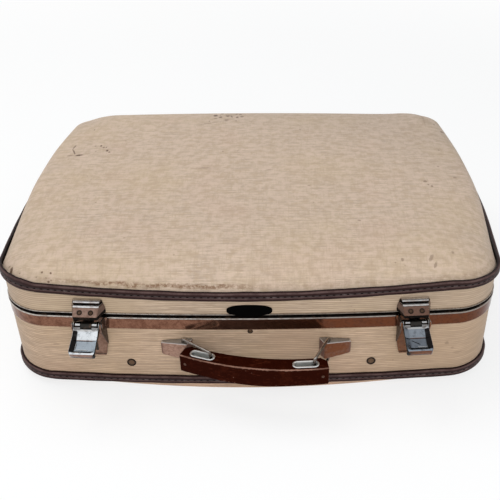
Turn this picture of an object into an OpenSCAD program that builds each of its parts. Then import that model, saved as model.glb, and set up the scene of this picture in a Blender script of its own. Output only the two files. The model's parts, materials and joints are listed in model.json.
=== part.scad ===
// Hard-sided vintage suitcase with a framed rim, crowned panels, two lever latches and a ring-hung handle.
// Millimetres. X runs along the width, Y from the handle side (-Y) to the hinge side (+Y), Z is up.
// The origin is the centre of the flat rest face under the base. The lid is shut, the latch levers stand open.

/* [Case] */
// Width over the metal rim
case_w = 600; // [560:5:680]
// Depth over the metal rim
case_d = 476; // [420:4:540]
// Corner radius of the rim in plan
corner_r = 50; // [40:1:70]
// Bow of the handle side between its corners
bow_front = 13; // [6:0.5:18]
// Bow of the two ends
bow_end = 13; // [6:0.5:18]
// Bow of the hinge side, kept low so that the hinge line clears it
bow_back = 5; // [2:0.5:6]
// Thickness of the covered fibre walls
wall_t = 3; // [2:0.5:4]
// Thickness of the pressed panels
panel_t = 2.4; // [1.6:0.2:3]
// Thickness of the cloth lining on its card
lining_t = 0.8; // [0.6:0.1:1.4]
// Height of the line where the two halves meet
rim_z = 106; // [96:1:116]
// Open gap between the two metal rims
rim_gap = 2.4; // [1.6:0.2:3]

/* [Panels and piping] */
// Height of the base piping at the corners, above the rest face
base_pipe_z = 13; // [11.5:0.5:18]
// How far the base piping sags in the middle of the handle side
base_sag = 2; // [0:0.5:3]
// Height of the lid piping at the corners, above the rest face
lid_pipe_z = 146.5; // [142:0.5:153]
// How far the lid edge sags in the middle of the handle side
lid_sag = 12; // [0:0.5:13]
// How much lower the lid edge runs along the ends and the hinge side than at the front corners
end_sag = 9; // [0:0.5:10]
// How far left of the middle the handle side's sag is deepest
sag_left = 45; // [0:5:60]
// How much higher the lid edge runs at the left end, and lower at the right, than in the middle
lid_lean = 3; // [0:0.5:4]
// Height of the lid crown above the piping at the corners
lid_crown = 27; // [20:0.5:32]
// Depth of the base panel below its piping, at the middle of a long side, before it rolls under
skirt_mid = 10; // [5:0.5:10.5]
// The same at the corners
skirt_corner = 3.5; // [2:0.5:5]
// How far the piping stands out from the rim line
pipe_out = 3.1; // [2:0.1:3.4]
// Half height of the lid piping
lid_pipe_h = 5.8; // [5:0.1:6.8]
// Half height of the base piping
base_pipe_h = 5.5; // [4.5:0.1:6]
// Depth of the stitched groove along the piping
pipe_groove = 0.9; // [0.4:0.1:1.4]

/* [Rim frame] */
// Thickness of the rim metal
rim_t = 1.2; // [0.8:0.1:1.6]
// Height of the base rim strip
strip_h = 17; // [14:0.5:20]
// Height of the lid rim edge
edge_h = 3.6; // [3:0.2:5]
// Height of the tongue that stands up from the base rim into the lid
tongue_h = 5.7; // [4:0.1:6]
// Clearance between the tongue and the inside of the lid wall
tongue_gap = 1.2; // [0.8:0.1:1.6]

/* [Latches] */
// Distance of each latch from the end of the case
latch_end = 115; // [105:1:125]
// Distance of the latch axis in front of the rim
latch_off = 14; // [13.5:0.25:16]
// Drop of the latch axis below the line where the halves meet
latch_drop = 4; // [3.5:0.25:5]
// Width of a lever
lever_w = 30; // [27:0.5:30.5]
// Length of a lever from its axis
lever_l = 36.5; // [33:0.5:40]
// Radius of the lever barrel
barrel_r = 5; // [4.6:0.1:5.2]
// Width of the claw
claw_w = 12.2; // [10:0.2:13]
// Radius of the latch pin
latch_pin_r = 1.8; // [1.4:0.1:2.2]
// Width of the latch housing
housing_w = 34; // [33.6:0.2:38]
// Length of the latch housing below the lever axis
housing_l = 53; // [44:1:56]
// Width of the latch housing at its lower end
housing_foot = 25; // [20:1:30]
// Angle between the level lever and the shut lever
lever_throw = 86; // [80:1:88]

// How far below level the left lever hangs at rest
left_rest = 21; // [0:1:30]
// How far below level the right lever hangs at rest
right_rest = 16; // [0:1:30]
// How far both latches sit to the right of their places
latch_shift = 2; // [0:0.5:3]

/* [Handle] */
// How far the handle sits to the right of the middle
handle_x = 6.4; // [0:0.2:8]
// Height of the handle axis
handle_z = 62; // [58:0.5:66]
// How far each ring pivot stands beyond the end of the grip, along the wall
pivot_past = 1.8; // [1.2:0.2:4]
// Distance of the ring pivots in front of the rim
pivot_off = 5; // [4.5:0.1:5.5]
// Ring length between its two upright legs
ring_l = 42.4; // [41.6:0.2:43]
// Wire radius of the rings
wire_r = 1.75; // [1.5:0.05:1.8]
// Swing of the left ring out from the wall
ring_left_angle = 36.5; // [36:0.5:50]
// Swing of the right ring out from the wall
ring_right_angle = 64.5; // [56:0.5:68]
// Length of the grip along its bend
grip_l = 166; // [150:1:186]
// Thickness of the grip
grip_t = 18.5; // [16:0.5:19]
// Height of the grip
grip_h = 23.5; // [20:0.5:24]
// Bend radius of the grip
grip_bend = 300; // [280:10:400]
// How far the grip is pushed to the left along its ring wires
grip_shift = 9.8; // [8:0.1:10.2]
// Inner length of a slot
slot_l = 26; // [25:0.5:27]
// Inner width of a slot
slot_w = 7.5; // [7:0.1:8]

/* [Hinges and studs] */
// Distance of each hinge from the middle
hinge_x = 185; // [170:1:195]
// Radius of a hinge knuckle
knuckle_r = 3.2; // [2.8:0.1:3.4]
// Radius of a hinge pin
hinge_pin_r = 1.3; // [1:0.1:1.5]
// Distance of the hinge axis behind the rim
hinge_out = 3.8; // [3.6:0.1:4.4]
// Distance of the two low front rivets from the middle
rivet_x = 143; // [135:1:150]
// Radius of a front rivet head
rivet_r = 5; // [3.5:0.5:6]
// Distance of the feet on the hinge side from the middle
foot_x = 140; // [130:1:150]
// Radius of a foot
foot_r = 7; // [5:0.5:9]

/* [Fits] */
// Radial running clearance of the pins and ring wires
run_gap = 0.05; // [0.03:0.01:0.08]
// Clearance under metal that is seated on a wall
seat_gap = 0.05; // [0.02:0.01:0.15]
// Clearance between the grip's eyelets and the ring wires that it rests on
grip_gap = 0.3; // [0.2:0.05:0.5]
// Clearance between the claw's nose and the keeper's ledge
nose_gap = 0.8; // [0.5:0.05:1.2]
// Clearance between touching shells
skin_gap = 0.02; // [0.01:0.01:0.05]

/* [Hidden] */
$fn = 48;
A = case_w/2;
B = case_d/2;
R = corner_r;
wall_o = -rim_t;
in_o = wall_o - wall_t;
tongue_o = in_o - tongue_gap;
base_top = rim_z - rim_gap/2;
lid_low = rim_z + rim_gap/2;
lid_top = lid_pipe_z + lid_crown;
pivot_x = grip_l/2 + pivot_past;
mid_flat = pivot_x - 24.8;
handle_flat = pivot_x + 35.2;
seat_half = 25;
corner_n = 8;
latch_x = A - latch_end;
latch_z = rim_z - latch_drop;
spread = 1/(1 - bow_end/A);
side_x = spread*[-latch_x - seat_half, -latch_x + seat_half, -handle_flat, -mid_flat,
                 mid_flat, handle_flat, latch_x - seat_half, latch_x + seat_half];
end_y = [-110, -45, 45, 110];
hinge_y = B + hinge_out;
barrel_in = claw_w/2 + 0.4;
cheek_t = 1.5;
plate_t = 1.2;

// Plan outline: a rounded rectangle whose sides bow out between the corners.
function bowed(p) = [p.x*(1 - bow_end/A*pow(p.y/B, 2)),
                     p.y*(1 - (p.y < 0 ? bow_front : bow_back)/B*pow(p.x/A, 2))];
function arc(cx, cy, r, t0) = [for (i = [0:corner_n]) let (t = t0 + 90*i/corner_n)
                               bowed([cx + r*cos(t), cy + r*sin(t)])];
function ring_r(o, r) = let (a = A + o, b = B + o, kx = (a - r)/(A - R), ky = (b - r)/(B - R))
  concat([for (x = side_x) bowed([x*kx, -b])], arc(a - r, r - b, r, -90),
         [for (y = end_y) bowed([a, y*ky])], arc(a - r, b - r, r, 0),
         [for (x = side_x) bowed([-x*kx, b])], arc(r - a, b - r, r, 90),
         [for (y = end_y) bowed([-a, -y*ky])], arc(r - a, r - b, r, 180));
function ring(o) = ring_r(o, R + o);
function lift(pts, zs) = [for (i = [0:len(pts)-1]) [pts[i].x, pts[i].y, zs[i]]];
function level(pts, z) = [for (p = pts) [p.x, p.y, z]];
function along(p, reach) = max(0, 1 - pow(p.x/(A*reach), 2))*pow(abs(p.y)/B, 6);

// Edge heights of the lid and of the base panel's skirt, station by station.
rim_pts = ring(0);
function sag(p, deep) = p.y < 0 ? deep*along([p.x + sag_left, p.y], 0.92) : 0;
lid_edge = [for (p = rim_pts) lid_pipe_z - lid_lean*p.x/A - sag(p, lid_sag)
            - end_sag*(1 - exp(-(p.y + B)/(B*0.315)))];
base_edge = [for (p = rim_pts) base_pipe_z - sag(p, base_sag)];
skirt = [for (p = rim_pts) skirt_corner + (skirt_mid - skirt_corner)*along(p, 0.7)];
function raised(zs, d) = [for (z = zs) z + d];

// A closed solid through rings of equal length. A loop of rings makes a tube, an open row gets end caps.
module skin(rings, loop) {
  n = len(rings[0]);
  m = len(rings);
  last = loop ? m - 1 : m - 2;
  walls = [for (j = [0:last], i = [0:n-1]) let (k = (i + 1) % n, q = (j + 1) % m)
           each [[j*n + i, q*n + i, q*n + k], [j*n + i, q*n + k, j*n + k]]];
  caps = loop ? [] : [[for (i = [0:n-1]) i], [for (i = [n-1:-1:0]) (m - 1)*n + i]];
  polyhedron([for (r = rings) each r], concat(walls, caps), convexity = 6);
}
module band(o1, o2, z1, z2) {
  outer = ring(o1);
  inner = ring(o2);
  n = len(outer);
  translate([0, 0, z1]) linear_extrude(z2 - z1)
    polygon(concat(outer, inner), [[for (i = [0:n-1]) i], [for (i = [0:n-1]) n + i]]);
}
// Stitched piping: two cords side by side with a sewn groove between them.
module piping(zs, h) {
  o = wall_o + seat_gap;
  section = [[o, -h], [pipe_out*0.45, -h], [pipe_out, -h*0.76], [pipe_out, -h*0.3],
    [pipe_out - pipe_groove, 0], [pipe_out, h*0.3], [pipe_out, h*0.76], [pipe_out*0.45, h], [o, h]];
  skin([for (s = section) lift(ring(s[0]), raised(zs, s[1]))], true);
}
// Pressed panel. Each step is [inset, share of the rise, share of the corner radius kept], and on the lid
// last the share of the rise where its shoulder stands upright, as it does along the ends.
lid_steps = [[0, 0, 1, 0], [1.6, 0.07, 1, 0.4], [6, 0.24, 1, 0.68], [14, 0.45, 0.96, 0.88],
             [26, 0.64, 0.92, 0.95], [44, 0.81, 0.86, 0.98], [70, 0.92, 0.82, 1], [110, 0.98, 0.8, 1],
             [160, 1, 0.6, 1]];
function ease(t) = let (c = min(1, max(0, t))) c*c*(3 - 2*c);
upright = [for (p = rim_pts) let (x = abs(p.x)/(1 - bow_end/A*pow(p.y/B, 2)), c = min(1, max(0, (x - A + R)/R)))
           max(c*c, 0.6*ease((p.y/B - 0.63)*4))*ease((p.y/B + 0.84)/0.84)
           *(1 - 0.5*ease((p.y/B - 0.25)*1.4))];
function rise(s, i) = s[1] + (s[3] - s[1])*upright[i];
base_steps = [[1.4, 0, 1], [6, 0.4, 1], [14, 0.72, 0.96], [26, 0.92, 0.92], [44, 1, 0.86]];
function panel_ring(o, keep) = ring_r(o, max(R*keep, 12));

module base_wall() color("BurlyWood") skin([lift(ring(wall_o), base_edge), lift(ring(in_o), base_edge),
  level(ring(in_o), base_top - rim_t), level(ring(wall_o), base_top - rim_t)], true);
module base_panel() color("Tan") {
  edge = raised(base_edge, -skin_gap);
  outer = [for (s = base_steps) lift(panel_ring(wall_o - s[0], s[2]),
           [for (k = skirt) (base_pipe_z - k)*(1 - s[1])])];
  inner = [for (s = base_steps) lift(panel_ring(in_o - s[0], s[2]),
           [for (k = skirt) (base_pipe_z - k)*(1 - s[1]) + panel_t*(0.3 + 0.7*s[1])])];
  n = len(inner);
  skin(concat([for (i = [n-1:-1:0]) inner[i]], [lift(ring(in_o), edge), lift(ring(wall_o), edge)], outer),
       false);
}
module base_piping() color("SaddleBrown") piping(base_edge, base_pipe_h);
module base_frame() color("Silver") {
  band(0, wall_o, base_top - strip_h, base_top);
  band(wall_o, tongue_o - rim_t, base_top - rim_t, base_top);
  band(tongue_o, tongue_o - rim_t, base_top, base_top + tongue_h);
}
module base_lining() color("Wheat")
  band(in_o - skin_gap, in_o - lining_t, base_pipe_z, base_top - rim_t - skin_gap);
module base_floor() color("Wheat") translate([0, 0, panel_t + skin_gap]) linear_extrude(2)
  polygon(panel_ring(in_o - 46, 0.86));

module lid_wall() color("BurlyWood") skin([level(ring(wall_o), lid_low + rim_t),
  level(ring(in_o), lid_low + rim_t), lift(ring(in_o), lid_edge), lift(ring(wall_o), lid_edge)], true);
module lid_panel() color("Tan") {
  edge = raised(lid_edge, skin_gap);
  outer = [for (s = lid_steps) lift(panel_ring(wall_o - s[0], s[2]),
           [for (i = [0:len(edge)-1]) edge[i] + (lid_top - edge[i])*rise(s, i)])];
  inner = [for (s = lid_steps) lift(panel_ring(in_o - s[0], s[2]),
           [for (i = [0:len(edge)-1]) edge[i] + (lid_top - edge[i])*rise(s, i)
            - panel_t*min(1, rise(s, i)*3)])];
  n = len(inner);
  skin(concat([for (i = [n-1:-1:0]) outer[i]], inner), false);
}
module lid_piping() color("SaddleBrown") piping(lid_edge, lid_pipe_h);
module lid_frame() color("Gainsboro") {
  band(0, wall_o, lid_low, lid_low + edge_h);
  band(wall_o, in_o, lid_low, lid_low + rim_t);
}
module lid_lining() color("Wheat")
  band(in_o - skin_gap, in_o - lining_t, base_top + tongue_h + 1.5, lid_pipe_z - lid_lean - max(lid_sag, end_sag) - 1);

// Seat on one flat facet of the handle side, between two stations: local x runs along it and -y points out.
function front_y(x) = bowed([x*spread, -B]).y;
function back_y(x) = bowed([x*spread, B]).y;
module on_front(x1, x2) {
  p = bowed([x1*spread, -B]);
  q = bowed([x2*spread, -B]);
  translate([(p.x + q.x)/2, (p.y + q.y)/2, 0]) rotate([0, 0, atan2(q.y - p.y, q.x - p.x)]) children();
}
// Extrudes a side profile of [distance out, height] along local x, centred.
module side(w) translate([-w/2, 0, 0]) rotate([90, 0, 90]) mirror([1, 0, 0]) linear_extrude(w) children();
module pin_x(r, w) rotate([0, 90, 0]) cylinder(r = r, h = w, center = true);

badge_w = 52;
badge_h = 14.5;
badge_z = lid_low + badge_h/2 + 1;
// The plate sits on the lid wall and laps over the rim edge.
module badge_plate() color("Black") on_front(-mid_flat, mid_flat) difference() {
  r = (pow(badge_w*0.6, 2) + pow(badge_h/2, 2))/badge_h;
  translate([0, rim_t - seat_gap, badge_z]) rotate([90, 0, 0]) linear_extrude(2.2) intersection() {
    translate([0, r - badge_h/2]) circle(r);
    translate([0, badge_h/2 - r]) circle(r);
    square([badge_w, badge_h*2], center = true);
  }
  translate([-badge_w, -seat_gap, lid_low - 2]) cube([2*badge_w, 4, edge_h + 2 + seat_gap]);
}
module stud(r, h) {
  cylinder(r = r, h = h*0.45);
  translate([0, 0, h*0.45]) intersection() {
    translate([0, 0, h*0.55 - (r*r + h*h*0.3025)/(h*1.1)]) sphere((r*r + h*h*0.3025)/(h*1.1));
    cylinder(r = r, h = h);
  }
}
rivet_z = base_pipe_z + 22.5;
module front_rivets() color("DimGray") {
  for (s = [-1, 1]) translate([s*rivet_x, front_y(rivet_x) + rim_t - 0.3, rivet_z]) rotate([90, 0, 0])
    stud(rivet_r, 1.8);
  translate([0, front_y(mid_flat) + rim_t - seat_gap, base_top - strip_h - 3.4]) rotate([90, 0, 0])
    stud(3.2, 1.6);
}
module foot(x, z) translate([x, back_y(x) - rim_t + 0.3, z]) rotate([-90, 0, 0]) stud(foot_r, 4.5);
module base_feet() color("DimGray") for (s = [-1, 1]) foot(s*foot_x, rivet_z + 3);
module lid_feet() color("DimGray") for (s = [-1, 1]) foot(s*foot_x, lid_low + edge_h + foot_r + 4.5);

leaf_w = 34;
leaf_y = back_y(hinge_x - leaf_w/2) + seat_gap;
knuckle_w = 11.4;
module base_leaf(x) color("Silver") translate([x, 0, 0]) difference() {
  union() {
    translate([-leaf_w/2, leaf_y, base_top - 15.5]) cube([leaf_w, 1.4, 14]);
    for (s = [-1, 1]) translate([s*(knuckle_w/2 + 5.3), 0, 0]) {
      translate([0, hinge_y, rim_z]) pin_x(knuckle_r, 10);
      translate([-5, leaf_y, rim_z - 4.5]) cube([10, hinge_y - leaf_y, 2]);
    }
  }
  translate([0, hinge_y, rim_z]) pin_x(hinge_pin_r + run_gap, 60);
  for (s = [-1, 1]) translate([s*11, leaf_y - 1, base_top - 9]) rotate([-90, 0, 0]) cylinder(r = 1.5, h = 4);
}
module lid_leaf(x) color("Silver") translate([x, 0, 0]) difference() {
  union() {
    translate([-leaf_w/2, leaf_y - rim_t + 0.1, lid_low + edge_h + 0.3]) cube([leaf_w, 1.3 + rim_t, 16]);
    translate([0, hinge_y, rim_z]) pin_x(knuckle_r, knuckle_w - 0.4);
    translate([0.2 - knuckle_w/2, leaf_y, rim_z + 2.5]) cube([knuckle_w - 0.4, hinge_y - leaf_y, 2]);
    translate([0.2 - knuckle_w/2, leaf_y, rim_z + 2.5]) cube([knuckle_w - 0.4, 1.4, 6]);
  }
  translate([0, hinge_y, rim_z]) pin_x(hinge_pin_r + run_gap, 60);
  for (s = [-1, 1]) translate([s*11, leaf_y - 3, lid_low + edge_h + 9]) rotate([-90, 0, 0])
    cylinder(r = 1.5, h = 8);
}
module hinge_pin(x) color("DarkGray") translate([x, hinge_y, rim_z]) {
  pin_x(hinge_pin_r, knuckle_w + 21);
  for (s = [-1, 1]) translate([s*(knuckle_w/2 + 10.9), 0, 0]) pin_x(2.2, 0.8);
}
module hinge_left_base_leaf() base_leaf(-hinge_x);
module hinge_left_lid_leaf() lid_leaf(-hinge_x);
module hinge_left_pin() hinge_pin(-hinge_x);
module hinge_right_base_leaf() base_leaf(hinge_x);
module hinge_right_lid_leaf() lid_leaf(hinge_x);
module hinge_right_pin() hinge_pin(hinge_x);

// Latch, drawn about the middle of its facet. at_axis moves to the barrel axis.
module latch_seat(s) on_front(s*latch_x - seat_half, s*latch_x + seat_half)
  translate([latch_shift, 0, 0]) children();
module at_axis() translate([0, -latch_off, latch_z]) children();
module housing() color("Silver") difference() {
  w = housing_w/2;
  foot_w = housing_foot/2;
  low = latch_z - housing_l;
  top = base_top - 0.5;
  union() {
    translate([0, -seat_gap, 0]) rotate([90, 0, 0]) linear_extrude(plate_t)
      polygon([[-w, top], [-w, low + 23], [-foot_w, low], [foot_w, low], [w, low + 23], [w, top]]);
    for (s = [-1, 1]) translate([s*(w - cheek_t/2), 0, 0]) side(cheek_t)
      polygon([[seat_gap, top], [latch_off - 5, latch_z + 4.3], [latch_off + 3.6, latch_z + 4.3],
        [latch_off + 5.4, latch_z], [latch_off + 3.4, latch_z - 6.5], [4, low + 22],
        [seat_gap + plate_t, low + 17], [seat_gap, low + 17]]);
    translate([-foot_w, -seat_gap - 2.6, low]) cube([2*foot_w, 2.6, 1.6]);
  }
  at_axis() pin_x(latch_pin_r + 0.02, housing_w + 2);
  translate([-claw_w/2 - 0.6, -3, latch_z - 6]) cube([claw_w + 1.2, 4, 20]);
}
module latch_pin() color("DarkGray") at_axis() {
  pin_x(latch_pin_r, housing_w);
  for (s = [-1, 1]) translate([s*(housing_w/2 + 0.35), 0, 0]) pin_x(latch_pin_r + 0.9, 0.7);
}
module lever(rest) color("Gainsboro") at_axis() rotate([rest, 0, 0]) difference() {
  w = lever_w/2;
  union() {
    for (s = [-1, 1]) translate([s*(barrel_in + w)/2, 0, 0]) pin_x(barrel_r, w - barrel_in);
    translate([0, 0, -4.2]) linear_extrude(1.6) polygon([[-w + 0.6, 0], [-w, -lever_l + 4],
      [-w + 2.5, -lever_l], [w - 2.5, -lever_l], [w, -lever_l + 4], [w - 0.6, 0]]);
    for (s = [-1, 1]) translate([s*(w - 1.3), 0, 0]) side(1.6)
      polygon([[barrel_r - 1, -4.2], [lever_l - 4.2, -4.2], [lever_l - 5, -1.2], [barrel_r + 8, -0.6],
        [barrel_r - 1, 1.6]]);
    side(2*w - 5) polygon([[lever_l - 3.2, -2.6], [lever_l - 2.2, -1.8], [lever_l, -2.6], [lever_l - 0.2, -8.2],
      [lever_l - 1.6, -8.8], [lever_l - 2.4, -4.2], [lever_l - 5, -4.2], [lever_l - 5, -2.6]]);
    translate([0, -barrel_r - 13, -2.7]) pin_x(0.7, 2*w - 4);
  }
  pin_x(latch_pin_r + run_gap, 60);
  translate([-barrel_in, -barrel_r - 0.6, -8]) cube([2*barrel_in, 2*barrel_r + 2, 16]);
}
// The claw is drawn shut, pointing up with its nose out, then swung back to the rest pose.
nose_z = 12;
nose_out = 1.4;
module claw(rest) color("Silver") at_axis() rotate([rest - lever_throw, 0, 0]) difference() {
  union() {
    pin_x(barrel_r - 0.2, claw_w);
    side(claw_w) polygon([[-3, 0], [-3, nose_z - 1.4], [-1.4, nose_z + 1],
      [nose_out - 0.2, nose_z + 1], [nose_out, nose_z], [0, nose_z], [0, 0]]);
  }
  pin_x(latch_pin_r + run_gap, 60);
}
module leaf_spring() color("DarkGray") translate([0, 0, latch_z]) side(8) {
  o = seat_gap + plate_t;
  low = 7 - housing_l;
  polygon([[o, low], [o + 0.7, low], [o + 0.8, low + 8], [4.4, -18], [5.4, -11], [4.8, -10.8], [3.7, -17.8],
    [o, low + 8.4]]);
}
// Keeper: a pressed hood on the lid. Its turned-in lower edge is the ledge that the claw's nose hooks over.
ledge_z = latch_z + nose_z - nose_gap;
keep_low = ledge_z - 1.2;
keep_top = keep_low + 18.7;
keep_brow = keep_low + 6.2;
keep_out = latch_off + 3.4;
module keeper() color("Gainsboro") difference() {
  b = seat_gap - rim_t;
  w = housing_w/2 + 2.5;
  f = lever_w/2 - 1.8;
  intersection() {
    side(60) polygon([[b, keep_top], [2.6, keep_top], [5.2, keep_top - 1], [6.4, keep_top - 2.8],
      [6.1, keep_top - 4], [7.2, keep_top - 4.6], [8.8, keep_top - 5], [9.4, keep_top - 6],
      [keep_out, keep_brow], [keep_out + 0.2, keep_brow - 1.5], [keep_out + 0.1, keep_low],
      [b, keep_low - 0.8]]);
    linear_extrude(200) polygon([[-w, 2], [-w, -1], [-f, -keep_out - 2.6], [f, -keep_out - 2.6], [w, -1],
      [w, 2]]);
  }
  intersection() {
    i = keep_out - 1.2;
    side(60) polygon([[b - 1, keep_top - 1.3], [2.2, keep_top - 1.3], [4.6, keep_top - 3.2],
      [8, keep_top - 6.6], [i, keep_brow - 0.5], [i, ledge_z], [i - 1.8, ledge_z], [i - 1.8, keep_low - 3],
      [b - 1, keep_low - 3]]);
    linear_extrude(200) polygon([[1.3 - w, 3], [1.3 - w, -1.2], [1.1 - f, -keep_out - 2.6],
      [f - 1.1, -keep_out - 2.6], [w - 1.3, -1.2], [w - 1.3, 3]]);
  }
  keeper_rivet_places() translate([0, 0, -6]) cylinder(r = 1.6, h = 12);
}
keep_slope = atan2(keep_top - 6 - keep_brow, keep_out - 9.4);
module keeper_rivet_places() for (s = [-1, 1])
  translate([s*6.4, -(keep_out + 9.4)/2, (keep_top - 6 + keep_brow)/2]) rotate([keep_slope, 0, 0]) children();
module keeper_rivets() color("DarkGray") keeper_rivet_places() {
  translate([0, 0, -2.2]) cylinder(r = 1.58, h = 2.4);
  translate([0, 0, 0.05]) stud(2.5, 1.1);
}
module latch_left_housing() latch_seat(-1) housing();
module latch_left_pin() latch_seat(-1) latch_pin();
module latch_left_lever() latch_seat(-1) lever(left_rest);
module latch_left_claw() latch_seat(-1) claw(left_rest);
module latch_left_spring() latch_seat(-1) leaf_spring();
module latch_left_keeper() latch_seat(-1) keeper();
module latch_left_rivets() latch_seat(-1) keeper_rivets();
module latch_right_housing() latch_seat(1) housing();
module latch_right_pin() latch_seat(1) latch_pin();
module latch_right_lever() latch_seat(1) lever(right_rest);
module latch_right_claw() latch_seat(1) claw(right_rest);
module latch_right_spring() latch_seat(1) leaf_spring();
module latch_right_keeper() latch_seat(1) keeper();
module latch_right_rivets() latch_seat(1) keeper_rivets();

// Handle. The rings turn about their own upright legs, which run in the brackets.
seat_slope = (front_y(handle_flat) - front_y(mid_flat))/(handle_flat - mid_flat);
function pivot(s) = let (x = handle_x + s*pivot_x)
  [x, front_y(mid_flat) + (abs(x) - mid_flat)*seat_slope - pivot_off];
bracket_h = 11.8;
module bracket(s) color("Silver") translate([pivot(s).x, pivot(s).y, handle_z]) difference() {
  rotate([0, 0, s*atan(seat_slope)]) intersection() {
    back = pivot_off + rim_t - seat_gap;
    translate([0, 0, -bracket_h]) linear_extrude(2*bracket_h) scale([-s, 1]) polygon([[-26, pivot_off - 1.2],
      [-26, pivot_off - 2.4], [-24.5, pivot_off - 3.6], [2, pivot_off - 10.2], [4.6, pivot_off - 10.5],
      [6, pivot_off - 9.3], [10.5, pivot_off - 1.2], [10.5, back], [-26, back]]);
    translate([0, 20, 0]) rotate([90, 0, 0]) linear_extrude(50) scale([-s, 1]) polygon([[-27, -8.6],
      [-22, -9.6], [2, -bracket_h], [12, -bracket_h], [12, bracket_h], [2, bracket_h], [-24, 9], [-27, 8]]);
  }
  translate([0, 0, -20]) cylinder(r = wire_r + run_gap, h = 40);
}
module handle_bracket_left() bracket(-1);
module handle_bracket_right() bracket(1);

ring_h = 16;
ring_r0 = 2;
// Closed wire ring in the XZ plane: its first leg stands on the origin, the other one at ring_l.
module wire_ring() {
  straight = ring_h - ring_r0;
  for (x = [0, ring_l]) translate([x, 0, -straight]) cylinder(r = wire_r, h = 2*straight);
  for (z = [-1, 1]) translate([ring_r0, 0, z*ring_h]) rotate([0, 90, 0])
    cylinder(r = wire_r, h = ring_l - 2*ring_r0);
  for (z = [0, 1], x = [0, 1]) mirror([0, 0, z]) translate([x*ring_l, 0, 0]) mirror([x, 0, 0])
    translate([ring_r0, 0, straight]) rotate([90, 0, 0]) rotate([0, 0, 90])
      rotate_extrude(angle = 90) translate([ring_r0, 0]) circle(wire_r);
}
module bail_left() color("Silver") translate([pivot(-1).x, pivot(-1).y, handle_z])
  rotate([0, 0, -ring_left_angle]) wire_ring();
module bail_right() color("Silver") translate([pivot(1).x, pivot(1).y, handle_z])
  rotate([0, 0, 180 + ring_right_angle]) wire_ring();

function rounded(w, h, r) = [for (c = [[1, 1, 0], [-1, 1, 90], [-1, -1, 180], [1, -1, 270]], i = [0:4])
  let (t = c[2] + 90*i/4) [c[0]*(w/2 - r) + r*cos(t), c[1]*(h/2 - r) + r*sin(t)]];
function obround(l, w) = [for (s = [1, -1], i = [0:10]) let (t = (s > 0 ? -90 : 90) + 18*i)
  [s*(l - w)/2 + w/2*cos(t), w/2*sin(t)]];
grip_a = grip_l/grip_bend*180/PI;
eyelet_t = 1.2;
eyelet_lip = 0.6;
grip_z = handle_z - ring_h + wire_r + grip_gap + eyelet_lip + grip_h/2;
// The bend of the grip runs through the free wires of both rings, which stand in its slots.
left_wire = pivot(-1) + ring_l*[cos(ring_left_angle), -sin(ring_left_angle)];
right_wire = pivot(1) - ring_l*[cos(ring_right_angle), sin(ring_right_angle)];
wires = right_wire - left_wire;
wires_a = asin(norm(wires)/(2*grip_bend));
slot_s = wires_a*grip_bend*PI/180;
bend_mid = (left_wire + right_wire)/2 + grip_bend*cos(wires_a)*[-wires.y, wires.x]/norm(wires);
grip_turn = atan2(wires.y, wires.x) - grip_shift/grip_bend*180/PI;
module in_grip() translate([bend_mid.x, bend_mid.y, grip_z]) rotate([0, 0, grip_turn])
  translate([0, -grip_bend, 0]) children();
// Bar bent in plan, its middle at the origin, bulging towards -y.
module bent(w, h, r, a) translate([0, grip_bend, 0]) rotate([0, 0, -90 - a/2]) rotate_extrude(angle = a)
  translate([grip_bend, 0]) polygon(rounded(w, h, r));
module along_grip(s) translate([0, grip_bend, 0]) rotate([0, 0, s/grip_bend*180/PI])
  translate([0, -grip_bend, 0]) children();
pin_s = grip_l/2 - 5.5;
core_t = 3;
core_h = 9;
core_a = 2*(slot_s - slot_l/2 - eyelet_t - 2.8)/grip_bend*180/PI;
module handle_grip() color("Maroon") in_grip() difference() {
  bent(grip_t, grip_h, 4.5, grip_a);
  for (s = [-1, 1]) along_grip(s*grip_l/2) translate([0, grip_t/2, 0]) rotate([0, 0, 45])
    cube([7, 7, 2*grip_h], center = true);
  for (s = [-1, 1]) along_grip(s*slot_s) translate([0, 0, -20]) linear_extrude(40)
    polygon(obround(slot_l + 2*eyelet_t, slot_w + 2*eyelet_t));
  for (s = [-1, 1]) along_grip(s*pin_s) rotate([90, 0, 0]) cylinder(r = 1.2, h = 40, center = true);
  bent(core_t, core_h, 0.5, core_a);
}
module handle_core() color("DimGray") in_grip()
  bent(core_t - 2*skin_gap, core_h - 2*skin_gap, 0.5, core_a - 0.2/grip_bend*180/PI);
module handle_eyelets() color("Silver") in_grip() for (s = [-1, 1]) along_grip(s*slot_s) difference() {
  union() {
    translate([0, 0, -grip_h/2 - eyelet_lip]) linear_extrude(grip_h + 2*eyelet_lip)
      polygon(obround(slot_l + 2*eyelet_t - 2*skin_gap, slot_w + 2*eyelet_t - 2*skin_gap));
    for (z = [-grip_h/2 - eyelet_lip, grip_h/2 + skin_gap]) translate([0, 0, z])
      linear_extrude(eyelet_lip - skin_gap)
      polygon(obround(slot_l + 4*eyelet_t, slot_w + 4*eyelet_t));
  }
  translate([0, 0, -20]) linear_extrude(40) polygon(obround(slot_l, slot_w));
}
module handle_pins() color("DarkGray") in_grip() for (s = [-1, 1]) along_grip(s*pin_s) {
  rotate([90, 0, 0]) cylinder(r = 1.18, h = grip_t, center = true);
  for (t = [-1, 1]) rotate([t*90, 0, 0]) translate([0, 0, grip_t/2]) cylinder(r = 1.8, h = 0.4);
}

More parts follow.
